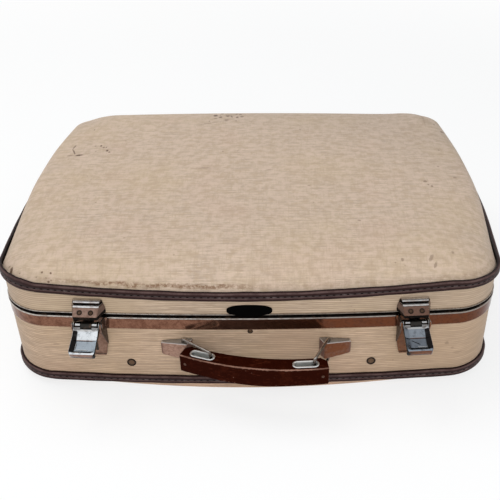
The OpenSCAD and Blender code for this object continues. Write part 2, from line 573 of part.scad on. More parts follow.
base_wall();
base_panel();
base_piping();
base_frame();
base_lining();
base_floor();
lid_wall();
lid_panel();
lid_piping();
lid_frame();
lid_lining();
badge_plate();
front_rivets();
base_feet();
lid_feet();
hinge_left_base_leaf();
hinge_left_lid_leaf();
hinge_left_pin();
hinge_right_base_leaf();
hinge_right_lid_leaf();
hinge_right_pin();
latch_left_housing();
latch_left_pin();
latch_left_lever();
latch_left_claw();
latch_left_spring();
latch_left_keeper();
latch_left_rivets();
latch_right_housing();
latch_right_pin();
latch_right_lever();
latch_right_claw();
latch_right_spring();
latch_right_keeper();
latch_right_rivets();
handle_bracket_left();
handle_bracket_right();
bail_left();
bail_right();
handle_grip();
handle_core();
handle_eyelets();
handle_pins();
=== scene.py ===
import json
from math import acos, atan, atan2, cos, degrees, dist, hypot, pi, radians, sin, tan
import bpy
import bmesh
import numpy as np
from mathutils import Matrix, Vector


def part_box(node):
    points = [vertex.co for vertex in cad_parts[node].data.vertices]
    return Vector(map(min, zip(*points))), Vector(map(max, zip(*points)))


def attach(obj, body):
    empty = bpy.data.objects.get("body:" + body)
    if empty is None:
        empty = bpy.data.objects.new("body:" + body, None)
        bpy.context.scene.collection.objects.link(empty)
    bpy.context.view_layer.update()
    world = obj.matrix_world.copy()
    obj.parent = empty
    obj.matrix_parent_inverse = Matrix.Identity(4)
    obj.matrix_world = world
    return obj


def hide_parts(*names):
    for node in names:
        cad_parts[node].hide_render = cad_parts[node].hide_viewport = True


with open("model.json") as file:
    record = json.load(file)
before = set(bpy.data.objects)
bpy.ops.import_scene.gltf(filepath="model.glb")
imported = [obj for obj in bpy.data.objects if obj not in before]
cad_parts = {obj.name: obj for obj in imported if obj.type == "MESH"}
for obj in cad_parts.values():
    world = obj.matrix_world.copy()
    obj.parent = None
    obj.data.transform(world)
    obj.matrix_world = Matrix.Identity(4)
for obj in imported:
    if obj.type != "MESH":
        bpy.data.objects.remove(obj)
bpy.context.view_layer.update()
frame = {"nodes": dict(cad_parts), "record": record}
nodes = frame["nodes"]

# Sizes of the part, in millimetres, as in its source.
MM = 0.001
A, B, R = 300.0, 238.0, 50.0
BOW_FRONT, BOW_END, BOW_BACK = 13.0, 13.0, 5.0
WALL, INNER, TONGUE = -1.2, -4.2, -5.4
PIPE_Z, LID_PIPE_Z, LID_TOP = 13.0, 146.5, 173.5
BASE_SAG, LID_SAG, END_SAG, SAG_LEFT, LEAN = 2.0, 12.0, 9.0, 45.0, 3.0
PIPE_OUT, PIPE_GROOVE, LID_PIPE_H, BASE_PIPE_H = 3.1, 0.9, 5.8, 5.5
BASE_TOP, LID_LOW, STRIP_H = 104.8, 107.2, 17
SPREAD = 1/(1 - BOW_END/A)
LATCH_X, LATCH_OFF, LATCH_Z = 185.0, 14.0, 102.0


# Outline and lofts

def bowed(p):
    x, y = p[:, 0], p[:, 1]
    bow = np.where(y < 0, BOW_FRONT, BOW_BACK)
    return np.stack([x*(1 - BOW_END/A*(y/B)**2), y*(1 - bow/B*(x/A)**2)], 1)


def outline(o, r=None):
    """The bowed and rounded plan outline, o millimetres outside the rim, at matching stations."""
    a, b = A + o, B + o
    r = R + o if r is None else r
    sx, sy = a - r, b - r
    side, end, corner = (np.linspace(*span)[:-1] for span in ((-1, 1, 97), (-1, 1, 73), (0, 90, 19)))

    def arc(cx, cy, t0):
        t = np.radians(t0 + corner)
        return np.stack([cx + r*np.cos(t), cy + r*np.sin(t)], 1)

    def line(xs, ys):
        return np.stack(np.broadcast_arrays(xs, ys), 1)
    return bowed(np.concatenate([
        line(side*sx, -b), arc(sx, -sy, -90), line(a, end*sy), arc(sx, sy, 0),
        line(-side*sx, b), arc(-sx, sy, 90), line(-a, -end*sy), arc(-sx, -sy, 180)]))


def along(p, reach):
    """1 amid the long sides, fading to 0 towards the corners and the ends."""
    return np.maximum(0, 1 - (p[:, 0]/(A*reach))**2)*(np.abs(p[:, 1])/B)**6


rim = outline(0)
rim_x, rim_y = rim.T
N = len(rim)
sag = np.where(rim_y < 0, along(rim + (SAG_LEFT, 0), 0.92), 0)
lid_edge = (LID_PIPE_Z - LEAN*rim_x/A - LID_SAG*sag
            - END_SAG*(1 - np.exp(-(rim_y + B)/(B*0.315))))
base_edge = PIPE_Z - BASE_SAG*sag
run = np.concatenate([[0], np.cumsum(np.hypot(*np.diff(np.vstack([rim, rim[:1]]), axis=0).T))])


def edge_y(x, y=-B):
    """Where the bowed front of the rim lies at x, or its back if y is B."""
    return bowed(np.array([[x*SPREAD, y]]))[0, 1]


def raised(p, z):
    return np.c_[p, np.broadcast_to(z, len(p))]


def ease(t):
    t = np.clip(t, 0, 1)
    return t*t*(3 - 2*t)


def smooth_steps(xs, ys, x):
    """Monotone cubic through (xs, ys)."""
    xs, ys, x = (np.asarray(v, float) for v in (xs, ys, x))
    h, d = np.diff(xs), np.diff(ys)/np.diff(xs)
    m = np.zeros(len(xs))
    m[0], m[-1] = d[0], d[-1]
    for i in range(1, len(xs) - 1):
        if d[i-1]*d[i] > 0:
            w1, w2 = 2*h[i] + h[i-1], h[i] + 2*h[i-1]
            m[i] = (w1 + w2)/(w1/d[i-1] + w2/d[i])
    i = np.clip(np.searchsorted(xs, x) - 1, 0, len(h) - 1)
    t = (x - xs[i])/h[i]
    return ((2*t**3 - 3*t**2 + 1)*ys[i] + (t**3 - 2*t**2 + t)*h[i]*m[i]
            + (3*t**2 - 2*t**3)*ys[i+1] + (t**3 - t**2)*h[i]*m[i+1])


def add_object(name, data):
    ob = bpy.data.objects.new(name, data)
    bpy.context.scene.collection.objects.link(ob)
    return ob


def mesh_object(name, bm):
    me = bpy.data.meshes.new(name)
    bm.to_mesh(me)
    bm.free()
    return add_object(name, me)


def piece(name, bm, body, mats, replaces=None, sharp=40):
    """Finishes a bmesh drawn in millimetres as a piece that rides on a body."""
    bmesh.ops.recalc_face_normals(bm, faces=bm.faces)
    bmesh.ops.scale(bm, vec=(MM,)*3, verts=bm.verts)
    for e in bm.edges:
        e.smooth = len(e.link_faces) != 2 or e.calc_face_angle(0) < radians(sharp)
    for f in bm.faces:
        f.smooth = True
    ob = mesh_object(name, bm)
    for m in mats if isinstance(mats, list) else [mats]:
        ob.data.materials.append(m)
    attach(ob, body)
    if replaces:
        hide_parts(replaces)


def inset_layer(bm):
    return bm.verts.layers.float.get("inset") or bm.verts.layers.float.new("inset")


def add_skin(bm, rings, loop=False, wrap=True, tag=None, mat=None):
    """Quads through rings of equal length: a loop of rings, or a row with end caps. Without wrap the rings are open.
    tag gives each ring its value of the vertex layer "inset", and mat its material."""
    layer, n = inset_layer(bm), len(rings[0])
    rows = [[bm.verts.new(p) for p in ring] for ring in rings]
    mat = mat or [0]*len(rows)
    for row, value in zip(rows, tag or ()):
        for v in row:
            v[layer] = value
    for j in range(len(rows) if loop else len(rows) - 1):
        a, b = rows[j], rows[(j + 1) % len(rows)]
        for i in range(n if wrap else n - 1):
            k = (i + 1) % n
            bm.faces.new((a[i], a[k], b[k], b[i])).material_index = mat[j]
    if not loop and wrap:
        bm.faces.new(rows[0]).material_index = mat[0]
        bm.faces.new(rows[-1][::-1]).material_index = mat[-1]
    return rows


def ring_loft(name, section, body, mats, replaces, sharp=40):
    """A closed section of (offset, height, material) round the outline. Height may be one number per station."""
    bm = bmesh.new()
    add_skin(bm, [raised(outline(o), z) for o, z, m in section], loop=True, mat=[m for o, z, m in section])
    piece(name, bm, body, mats, replaces, sharp)


def round_steps(sides):
    return np.linspace(0, 2*pi, sides + 1)[:-1]


def tube(bm, pts, radius, sides, closed=False, normal=(0, 0, 1)):
    """A tube along points, with a radius per point. normal is square to the path, or nearly."""
    pts = np.asarray(pts, float)
    n = len(pts)
    radius = np.broadcast_to(radius, n)
    t = round_steps(sides)
    rings = []
    for i in range(n):
        d = (pts[(i + 1) % n] - pts[i - 1]) if closed else (pts[min(i + 1, n - 1)] - pts[max(i - 1, 0)])
        side = np.cross(d, normal)
        side /= np.linalg.norm(side)
        up = np.cross(side, d)
        up /= np.linalg.norm(up)
        rings.append(pts[i] + radius[i]*(np.cos(t)[:, None]*side + np.sin(t)[:, None]*up))
    return add_skin(bm, rings, loop=closed)


def frame_at(origin, turn=0.0, tip=0.0):
    """A 3 by 4 frame, turned about Z and then tipped about its own X, in degrees."""
    a, b = radians(turn), radians(tip)
    ca, sa, cb, sb = cos(a), sin(a), cos(b), sin(b)
    return np.c_[[[ca, -sa*cb, sa*sb], [sa, ca*cb, -ca*sb], [0, sb, cb]], origin]


def put(fr, pts):
    return np.asarray(pts, float) @ fr[:, :3].T + fr[:, 3]


def lathe(bm, fr, profile, sides, mat=None):
    """Rings of (radius, height) about the frame's -Y."""
    t = round_steps(sides)
    add_skin(bm, [put(fr, np.c_[r*np.cos(t), np.full(sides, -h), r*np.sin(t)]) for r, h in profile], mat=mat)


def fillet(poly, radii, n=4):
    """Rounds the corners of a polygon, with one radius per corner."""
    poly = np.asarray(poly, float)
    pts = []
    for i, (p, r) in enumerate(zip(poly, radii)):
        u, v = poly[i - 1] - p, poly[(i + 1) % len(poly)] - p
        lu, lv = np.linalg.norm(u), np.linalg.norm(v)
        half = acos(np.clip(u @ v/lu/lv, -1, 1))/2
        cut = min(r/max(tan(half), 1e-3), lu*0.45, lv*0.45)
        if cut < 0.02:
            pts.append(p)
            continue
        a, b = p + u/lu*cut, p + v/lv*cut
        pts += [(1 - t)**2*a + 2*t*(1 - t)*p + t*t*b for t in np.linspace(0, 1, n + 1)]
    return np.array(pts)


def prism(bm, fr, poly, lo, hi, bevel, axis=0, mat=0):
    """A bevelled block, from lo to hi along X of a polygon of (distance out, height), or along Y of (x, height)."""
    poly = np.asarray(poly, float)
    rings = []
    for w in (lo, hi):
        c = np.full(len(poly), w)
        cols = (c, -poly[:, 0], poly[:, 1]) if axis == 0 else (poly[:, 0], -c, poly[:, 1])
        rings.append(put(fr, np.column_stack(cols)))
    rows = add_skin(bm, rings)
    # Each face and edge once, always in the same order.
    faces = dict.fromkeys(f for row in rows for v in row for f in v.link_faces)
    for f in faces:
        f.material_index = mat
    bmesh.ops.recalc_face_normals(bm, faces=list(faces))
    ends = dict.fromkeys(e for row in rows for v in row for e in v.link_edges if e.other_vert(v) in row)
    bmesh.ops.bevel(bm, geom=list(ends), offset=bevel, segments=2, profile=0.6, affect="EDGES", clamp_overlap=True,
                    material=-1)


# Materials

def plug(tree, socket, value):
    """Links a socket to another one, or sets it."""
    if isinstance(value, bpy.types.NodeSocket):
        tree.links.new(value, socket)
    else:
        socket.default_value = (*value, 1) if socket.type == "RGBA" else value


def add_node(tree, kind, inputs=(), out=0, **settings):
    """Adds a node, with its inputs named or numbered, and gives one of its outputs, or all of them."""
    n = tree.nodes.new("ShaderNode" + kind)
    for k, v in settings.items():
        setattr(n, k, v)
    for k, v in dict(inputs).items():
        plug(tree, n.inputs[k], v)
    return n.outputs if out is None else n.outputs[out]


class Shader:
    """A principled material and the nodes that feed it."""

    def __init__(self, name, color, rough, metallic=0.0):
        self.mat = bpy.data.materials.new(name)
        self.mat.use_nodes = True
        self.tree = self.mat.node_tree
        self.bsdf = next(n for n in self.tree.nodes if n.type == "BSDF_PRINCIPLED")
        self.set(Base_Color=color, Roughness=rough, Metallic=metallic)
        self.place = self.add("TexCoord", out=None)
        self.coords = self.place["Object"]

    def set(self, **values):
        for k, v in values.items():
            plug(self.tree, self.bsdf.inputs[k.replace("_", " ")], v)

    def add(self, *kind, **settings):
        return add_node(self.tree, *kind, **settings)

    def scaled(self, x, y, z, source=None):
        return self.add("Mapping", {"Vector": source or self.coords, "Scale": (x, y, z)})

    def noise(self, vector, scale, detail, rough=0.5):
        return self.add("TexNoise", {"Vector": vector or self.coords, "Scale": scale, "Detail": detail,
                                     "Roughness": rough}, "Fac")

    def cells(self, scale, feature="F1"):
        return self.add("TexVoronoi", {"Vector": self.coords, "Scale": scale}, "Distance", feature=feature)

    def length(self, vector):
        return self.add("VectorMath", {0: vector}, "Value", operation="LENGTH")

    def near(self, at, size, turn):
        """0 at a point given in millimetres, 1 at the ellipse of half sizes about it."""
        return self.length(self.add("Mapping", {
            "Vector": self.coords, "Location": [v*MM for v in at], "Rotation": (0, 0, radians(turn)),
            "Scale": [v*MM for v in size]}, vector_type="TEXTURE"))

    def split(self, kind="Object"):
        """The three parts of a place, or of the surface's own direction, which moves with the piece."""
        return self.add("SeparateXYZ", {0: self.place[kind]}, None)

    def mirrored(self, n, way):
        """How far a surface facing n would mirror the given direction, for light that leaves the front at a slant."""
        ahead, down = 0.8, 0.6
        y = self.times(self.math("ABSOLUTE", n[1]), -1)
        look = self.math("SUBTRACT", self.times(y, ahead), self.times(n[2], down))
        facing = self.times(n[2], way[2], self.times(y, way[1], self.times(n[0], way[0])))
        return self.math("SUBTRACT", ahead*way[1] - down*way[2], self.times(self.times(look, facing), 2))

    def attr(self, name, kind="Fac"):
        return self.add("Attribute", out=kind, attribute_name=name)

    def math(self, op, *values):
        return self.add("Math", enumerate(values), operation=op)

    def times(self, a, b, plus=None):
        return self.math("MULTIPLY", a, b) if plus is None else self.math("MULTIPLY_ADD", a, b, plus)

    def step(self, value, lo, hi):
        """0 at lo and 1 at hi."""
        return self.add("MapRange", {"Value": value, "From Min": lo, "From Max": hi},
                        interpolation_type="SMOOTHSTEP")

    def specks(self, size, lo, hi, scale, detail, least, most):
        """Small round spots, in patches."""
        return self.times(self.step(self.cells(size), lo, hi), self.step(self.noise(None, scale, detail), least, most))

    def ragged(self, scale, reach):
        """Fine noise about 0, which frays an edge."""
        return self.times(self.math("SUBTRACT", self.noise(None, scale, 4, 0.7), 0.5), reach)

    def mix(self, fac, a, b, mode="MIX"):
        return self.add("Mix", {0: fac, 6: a, 7: b}, 2, data_type="RGBA", blend_type=mode)

    def layer(self, col, value, lo, hi, share, over, mode="MIX"):
        """Lays a share of a colour over another, from none where the value is lo to all of it at hi."""
        return self.mix(self.times(self.step(value, lo, hi), share), col, over, mode)

    def bump(self, height, strength, distance):
        self.set(Normal=self.add("Bump", {"Strength": strength, "Distance": distance, "Height": height}))


def tint(c, k):
    return tuple(np.multiply(c, k))


# Stains and rubs: place and half sizes in millimetres, in x and y on the lid or x and z on the base, depth of
# colour, and any turn in degrees.
LID_MARKS = (
    (-64, 183, 3.6, 6, 0.95), (-56, 173, 2.8, 4, 0.85), (-63, 166, 3.4, 2.4, 0.5), (-57, 186, 1.8, 3.4, 0.55),
    (-55, 197, 2.5, 8, 0.4), (-45, 180, 4.2, 4.3, 0.7), (-39, 176, 1.5, 8, 0.65, 10), (-46, 158, 4, 5.5, 0.5),
    (-30, 171, 2.7, 5, 0.75), (-32, 193, 1.5, 5, 0.55), (-26, 190, 2.6, 4.5, 0.65), (-23, 175, 3.4, 3.9, 0.55),
    (-31, 154, 1.6, 2.2, 0.5), (-72, 154, 1.5, 2.6, 0.5), (-42, 187, 12, 14, 0.22), (-73, 144, 20.3, 1, 0.5, 21),
    (-247, 45, 6.2, 2.7, 0.95), (-260, 46, 4.3, 1.8, 0.5), (-260, 75, 6.6, 1.2, 0.75, -97),
    (-257, 58, 10.5, 1.2, 0.8, -67), (-229, 73, 1.3, 2.1, 0.5), (-221, 73, 1.5, 2.8, 0.9), (-216, 67, 1.7, 2.4, 0.7),
    (-212.5, 67, 1.2, 2.4, 0.7), (-209, 56, 1.8, 3, 0.95), (-205, 51, 1.8, 2.6, 0.85), (-225, 55, 1.2, 2, 0.35),
    (-244, 136, 1.2, 2.5, 0.65), (90, 180, 40, 0.9, 0.4, -2), (40, 180, 30, 0.6, 0.2, 1), (-68, -3, 10, 1.0, 0.55, 1),
    (-60, -5, 26, 0.5, 0.2), (65.7, 118.5, 1.8, 1.4, 0.5), (-44.4, 44, 1.6, 1.5, 0.5), (22, -9, 5, 1.5, 0.35, 10),
    (73, -52, 2, 1.2, 0.4), (131, -136, 2.2, 1.6, 0.5), (174, -206, 1.8, 2.4, 0.45), (207, -204, 2, 5, 0.4, -30),
    (211, -212, 1.6, 4, 0.45, -20), (233, -195, 2, 2, 0.4), (280, 129, 4, 4, 0.6), (226, -39, 3.3, 2.4, 0.55),
    (229, -47, 1.2, 2.3, 0.5), (233, -51, 1.8, 2.1, 0.7), (268, -25, 2.8, 1.6, 0.45), (251, 4, 1.8, 1.8, 0.45),
    (261, 57, 1.6, 2.4, 0.35), (271, 150, 1.2, 3, 0.5), (256, 163, 2.1, 20, 0.2), (-233, -217, 1.2, 1, 0.8),
    (-223, -218, 1.2, 1, 0.85), (-225, -225, 1.6, 0.8, 0.8), (-222, -224, 1, 0.7, 0.55), (-228, -222, 1, 0.8, 0.5),
    (-239, -221, 1, 0.8, 0.45), (-272, -206, 1.9, 5.0, 0.97), (-276, -199, 1.5, 1.2, 0.55), (-260, -213, 1, 0.8, 0.5))
BASE_MARKS = (
    (212, 30, 9, 1.5, 0.15), (232, 58, 3, 2.5, 0.35), (240, 50, 2, 1.5, 0.3), (246, 42, 6, 2, 0.18),
    (60, 25, 12, 1, 0.2), (-90, 70, 3, 1, 0.25), (-230, 60, 4, 2, 0.2), (120, 78, 6, 1, 0.2))


# Where the marks lie in the third direction, and how deep they reach. Ribs in radians per metre.
LID_Z, LID_DEEP, WALL_Y, WALL_DEEP, RIBS = 160, 60, -228, 30, 2300


def cloth(name, base, top=False, marks=(), dirt=0.0, draped=False):
    """Cream ribbed cover. Ribs and streaks run along X on the lid and round the case on the walls."""
    s = Shader(name, base, 0.62)
    x, y, z = s.split()
    flat = s.attr("drape", "Vector") if draped else None

    def drawn(k, v):
        return s.scaled(k, v if top else k, v, flat)
    streak = s.noise(drawn(28, 430), 1, 4, 0.7)
    fine, slub = s.noise(drawn(70, 1000), 1, 2), s.noise(drawn(60, 620), 1, 2, 0.6)
    broad, pink, blotch = s.noise(None, 7, 4, 0.6), s.noise(None, 11.3, 3), s.noise(None, 24, 5, 0.7)
    dark, light = (0.76, 1.2) if top else (0.7, 1.25)
    col = s.mix(s.step(streak, 0.3, 0.7), tint(base, dark), tint(base, light))
    layers = [(fine, 0.5, 0.72, 0.75, (0.76, 0.72, 0.67)), (slub, 0.58, 0.7, 0.6, (1.27, 1.27, 1.25)),
              (broad, 0.42, 0.68, 0.55, (0.99, 0.97, 0.84)), (pink, 0.5, 0.72, 0.4, (0.98, 0.9, 0.89)),
              (blotch, 0.58, 0.76, 0.28, (0.78, 0.73, 0.66))]
    if draped:
        weft, mottle = s.noise(s.scaled(640, 45, 1, flat), 1, 2), s.noise(None, 105, 4, 0.6)
        layers += [(weft, 0.48, 0.7, 0.6, (0.85, 0.83, 0.79)), (mottle, 0.47, 0.64, 0.6, (1.13, 1.11, 1.13)),
                   (mottle, 0.5, 0.35, 0.55, (0.84, 0.8, 0.72))]
    if not top:
        # Ribs across the walls, and painted shade that darkens their right end.
        rib = s.math("SINE", s.times(z, RIBS, s.times(broad, 9)))
        layers += [(rib, 0.2, 0.95, 0.8, (0.64, 0.59, 0.52)), (x, 0.08, 0.28, 0.45, (0.78, 0.76, 0.72))]
    for value, lo, hi, share, k in layers:
        col = s.layer(col, value, lo, hi, share, tint(base, k))
    if draped:
        # Darker and a little greyer towards the back right.
        col = s.mix(s.step(s.times(x, 0.6, y), 0.05, 0.3), col, (0.9, 0.905, 0.915), "MULTIPLY")
    col = s.mix(s.times(s.specks(88, 0.12, 0.06, 29, 1, 0.6, 0.7), 0.5), col, (0.16, 0.1, 0.06))
    ragged = s.ragged(260, 1.8)
    for at_x, at, half_x, half, depth, *turn in marks:
        place, size = (((at_x, at, LID_Z), (half_x, half, LID_DEEP)) if top else
                       ((at_x, WALL_Y, at), (half_x, WALL_DEEP, half)))
        spot = s.math("ADD", s.near(place, size, sum(turn)), ragged)
        col = s.layer(col, spot, 1.25, 0.6, depth, (0.1, 0.055, 0.032))
    if dirt:
        # A broken line of grime a little inside the piping, along the front.
        grime_and_gap_shade = s.times(s.noise(s.scaled(60, 200, 200), 1, 4, 0.7), 7.0, -3.5)
        off = s.math("ABSOLUTE", s.math("SUBTRACT", s.math("ADD", s.attr("inset"), grime_and_gap_shade), 5.6))
        front = s.times(s.step(y, -0.12, -0.2), s.times(s.step(x, 0.03, -0.05), 0.72, 0.25))
        front = s.times(front, s.step(x, -0.27, -0.15))
        broken = s.step(s.noise(None, 230, 4, 0.75), 0.36, 0.56)
        line = s.times(s.times(s.step(off, 2.6, 0.4), front), broken)
        col = s.mix(s.times(line, dirt), col, (0.19, 0.1, 0.05))
    s.set(Base_Color=col, Roughness=s.times(blotch, 0.2, 0.55), Sheen_Weight=0.05, Specular_IOR_Level=0.3)
    s.bump(s.math("ADD", s.noise(drawn(8, 900), 1, 2), s.times(streak, 0.6)), 0.4, 0.0007)
    return s.mat


def metal(name, color, rough, stain=(0.2, 0.12, 0.08), amount=0.4, wave=0.25, front=None, ahead=(0.3, 0.6), sides=None,
          inner=None, ridge=None, dark_reflection_share=0.88, matte=0.0, grime_and_gap_shade=0.0):
    """Metal with mottled stains and pits, and painted reflections and shade by the way each face looks: where a face
    would not mirror a window it is painted near black by the given share, front is a painted reflection on faces that
    look forwards, one tone on the left and one on the right half, sides a painted dark reflection on those that look
    sideways, inner the way in which faces are painted black, and ridge a painted highlight on upper edges. Faces that
    look down get painted shade."""
    s = Shader(name, color, rough, 1.0)
    mottled = s.noise(None, 150, 5, 0.65)
    col = s.layer(color, mottled, 0.48, 0.72, amount, stain)
    if front:
        n = s.split("Normal")
        # Painted reflection of a brown floor on faces that look forwards: one tone on the left half, one on the right,
        # mottled and grained.
        side = s.math("ADD", s.split()[0], s.times(mottled, 0.04))
        tone = s.mix(s.step(side, -0.02, 0.1), *front)
        tone = s.layer(tone, mottled, 0.44, 0.6, 0.55, tint(front[0], (0.5, 0.42, 0.38)))
        grain = s.noise(s.scaled(330, 330, 520), 1, 4, 0.7)
        tone = s.layer(tone, grain, 0.46, 0.62, 0.6, (0.6, 0.52, 0.48), "MULTIPLY")
        # Painted reflection: the colour goes near black, save where a face would mirror one of two windows above the
        # front.
        dark_reflection = s.mix(dark_reflection_share, col, (0.01, 0.009, 0.009))
        dark_reflection = s.layer(dark_reflection, s.mirrored(n, (0.1, -0.55, 0.83)), 0.8, 0.98, 0.6, col)
        col = s.mix(s.step(s.mirrored(n, (-0.4, 0.42, 0.815)), 0.52, 0.9), dark_reflection, col)
        cover = s.times(s.step(s.times(n[1], -1), *ahead), 0.95)
        col = s.mix(cover, col, tone)
        # Painted shade on faces that look down.
        under = s.step(s.times(n[2], -1), 0.36, 0.5)
        col = s.mix(under, col, (0.06, 0.035, 0.025))
        cover = s.math("MAXIMUM", cover, under)
        if sides:
            # Painted dark reflection on faces that look sideways.
            beside = s.times(s.step(s.math("ABSOLUTE", n[0]), 0.28, 0.6), 0.95)
            col = s.mix(beside, col, sides)
            cover = s.math("MAXIMUM", cover, beside)
        if ridge:
            # Painted highlight along the upper edges, on faces between the front and the top.
            edge = s.times(s.step(n[2], 0.2, 0.45), s.step(n[2], 0.96, 0.85))
            col = s.mix(edge, col, ridge)
            cover = s.times(cover, s.math("SUBTRACT", 1, edge))
        if matte:
            s.set(Metallic=s.times(cover, -matte, 1), Specular_IOR_Level=0.12)
        if inner:
            # Painted black on faces that look inwards, towards the side that inner gives.
            col = s.mix(s.step(s.times(n[0], inner), 0.06, 0.22), col, (0.012, 0.011, 0.011))
    if grime_and_gap_shade:
        # Painted shade in corners and gaps: 1 in the open, towards 0 there.
        airy = s.add("AmbientOcclusion", {"Distance": 0.006}, "AO", samples=6)
        col = s.layer(col, airy, 0.75, 0.25, grime_and_gap_shade, (0.012, 0.009, 0.008))
    col = s.mix(s.times(s.specks(800, 0.22, 0.1, 210, 2, 0.52, 0.66), 0.55), col, (0.07, 0.045, 0.03))
    s.set(Base_Color=col, Roughness=s.times(mottled, 0.2, rough - 0.07))
    s.bump(s.noise(None, 110, 3), wave, 0.0005)
    return s.mat


def hide(name, dark, light, scale, rough, worn=0.35, edge=None, shine=0.3, groove=None, painted_sheen=None):
    """Leather: cell grain, darker creases, lighter rubbed patches, painted shade in a groove, a painted sheen on faces
    that look up, and pale worn patches where "inset" marks an edge.
    """
    s = Shader(name, dark, rough)
    rub = s.noise(None, 70, 5, 0.7)
    col = s.layer(dark, rub, 0.5, 0.75, worn, light)
    if painted_sheen:
        # Painted sheen on faces that look up, in patches.
        up = s.split("Normal")[2]
        lit = s.times(s.step(up, 0.1, 0.5), s.step(up, 0.97, 0.8))
        col = s.mix(s.times(lit, s.times(s.step(rub, 0.35, 0.6), 0.5, 0.4)), col, painted_sheen)
    if groove:
        # Painted shade in the groove between the cords, where the inset layer is high.
        col = s.mix(s.step(s.attr("inset"), 0.35, 0.9), col, groove)
    if edge:
        scuff = s.noise(s.scaled(75, 260, 420), 1, 4, 0.7)
        col = s.layer(col, scuff, 0.57, 0.7, 0.6, tint(light, (1.5, 1.8, 2.0)))
        kept = s.times(s.step(s.noise(None, 26, 2), 0.42, 0.6), 0.5, 0.42)
        col = s.layer(col, s.math("ADD", s.attr("inset"), s.ragged(330, 1.4)), 0.55, 0.85, kept, edge)
        col = s.mix(s.times(s.specks(210, 0.16, 0.07, 47, 2, 0.58, 0.68), 0.5), col, edge)
    s.set(Base_Color=col, Roughness=s.times(rub, 0.3, rough - 0.15), Specular_IOR_Level=shine)
    s.bump(s.math("ADD", s.cells(scale, "SMOOTH_F1"), s.noise(None, scale*0.4, 3)), 0.35, 0.0005)
    return s.mat


def lining_cloth():
    s = Shader("lining_cloth", (0.4, 0.31, 0.23), 0.85)
    weave = s.times(*(s.noise(s.scaled(*way), 1, 1) for way in ((1300, 110, 110), (110, 1300, 1300))))
    col = s.mix(s.step(weave, 0.12, 0.42), (0.35, 0.265, 0.19), (0.47, 0.37, 0.275))
    s.set(Base_Color=s.layer(col, s.noise(None, 5, 5, 0.6), 0.45, 0.8, 0.3, (0.3, 0.22, 0.15)))
    s.bump(weave, 0.3, 0.0006)
    return s.mat


top_cloth = cloth("cover_cloth_lid", (0.515, 0.398, 0.305), True, LID_MARKS, dirt=0.9, draped=True)
lid_wall_cloth = cloth("cover_cloth_lid_wall", (0.485, 0.365, 0.268))
wall_cloth = cloth("cover_cloth_base", (0.5, 0.357, 0.25), marks=BASE_MARKS)
skirt_cloth = cloth("cover_cloth_skirt", (0.5, 0.33, 0.23), True)
piping_hide = hide("piping_hide", (0.024, 0.0095, 0.009), (0.075, 0.045, 0.043), 700, 0.5, shine=0.1,
                   groove=(0.006, 0.003, 0.003), painted_sheen=(0.11, 0.068, 0.062))
thread = hide("thread", (0.05, 0.035, 0.034), (0.2, 0.155, 0.15), 1500, 0.6, 0.8)
grip_hide = hide("grip_hide", (0.02, 0.0028, 0.001), (0.055, 0.0105, 0.0045), 520, 0.55, 0.55,
                 edge=(0.3, 0.165, 0.12), shine=0.01)
enamel = hide("badge_enamel", (0.0012, 0.0011, 0.0011), (0.003, 0.0028, 0.0026), 300, 0.5, 0.5, shine=0.01)
lining = lining_cloth()

# Plating with painted reflections and shade: brown tones on forward faces, lighter on the left half than on the right,
# dark on sideways faces and under them.
chrome = metal("plated", (0.78, 0.78, 0.79), 0.2, stain=(0.12, 0.05, 0.025), sides=(0.15, 0.095, 0.075), matte=0.85,
               front=((0.25, 0.15, 0.11), (0.115, 0.05, 0.027)), grime_and_gap_shade=0.85)
# A bright copy of the plating: painted highlights on the rolls of the keepers.
roll_metal = metal("plated_roll", (0.88, 0.88, 0.89), 0.16, front=((0.8, 0.8, 0.8), (0.5, 0.49, 0.48)),
                   ahead=(-0.2, 0.1), sides=(0.1, 0.06, 0.045), matte=0.3)
body_metal = metal("plated_body", (0.5, 0.48, 0.46), 0.26, front=((0.27, 0.155, 0.11), (0.19, 0.075, 0.032)),
                   sides=(0.035, 0.02, 0.014), matte=0.9, grime_and_gap_shade=0.95)
# The shoes also carry a painted highlight along their upper edges.
shoe_metal = metal("plated_shoe", (0.4, 0.385, 0.365), 0.5, front=((0.38, 0.225, 0.165), (0.158, 0.042, 0.008)),
                   sides=(0.16, 0.085, 0.065), ridge=(0.82, 0.81, 0.79), dark_reflection_share=0.3, matte=0.9, grime_and_gap_shade=0.75)


def lever_metals(side, shelf, upper, lower):
    """Painted reflections of a lever, lit and shaded copies of its plating: its upper facet, its dished lower one, and
    its shelf and barrels.
    """
    name = "plated_lever_" + SIDE[side]
    wear_and_reflection = dict(rough=0.16, stain=tint(lower, 0.5), amount=0.7, wave=0.4, ahead=(0.74, 0.92), dark_reflection_share=0.4, matte=0.8,
                grime_and_gap_shade=0.85, inner=-side, front=((0.25, 0.137, 0.098), (0.17, 0.06, 0.022)))
    return [metal(name, upper, **wear_and_reflection), metal(name + "_dish", lower, **wear_and_reflection),
            metal(name + "_shelf", shelf, 0.14, wave=0.2, front=[(0.3, 0.3, 0.3)]*2, ahead=(0.8, 0.98), grime_and_gap_shade=0.9)]


SIDE = {-1: "left", 1: "right"}
# The left lever is painted bright and the right one dark: lit and shaded copies of one plating.
lever_plate = {-1: lever_metals(-1, (0.85, 0.86, 0.87), (0.78, 0.82, 0.86), (0.35, 0.4, 0.45)),
               1: lever_metals(1, (0.6, 0.61, 0.62), (0.24, 0.27, 0.31), (0.13, 0.147, 0.172))}
# Wire with a darker painted reflection on faces that look forwards.
wire_metal = metal("plated_wire", (0.66, 0.64, 0.61), 0.22, wave=0.03, front=[(0.2, 0.17, 0.15)]*2, dark_reflection_share=0.6, grime_and_gap_shade=0.4)
ferrule = metal("ferrule", (0.74, 0.75, 0.74), 0.35, stain=(0.5, 0.48, 0.45), grime_and_gap_shade=0.5)
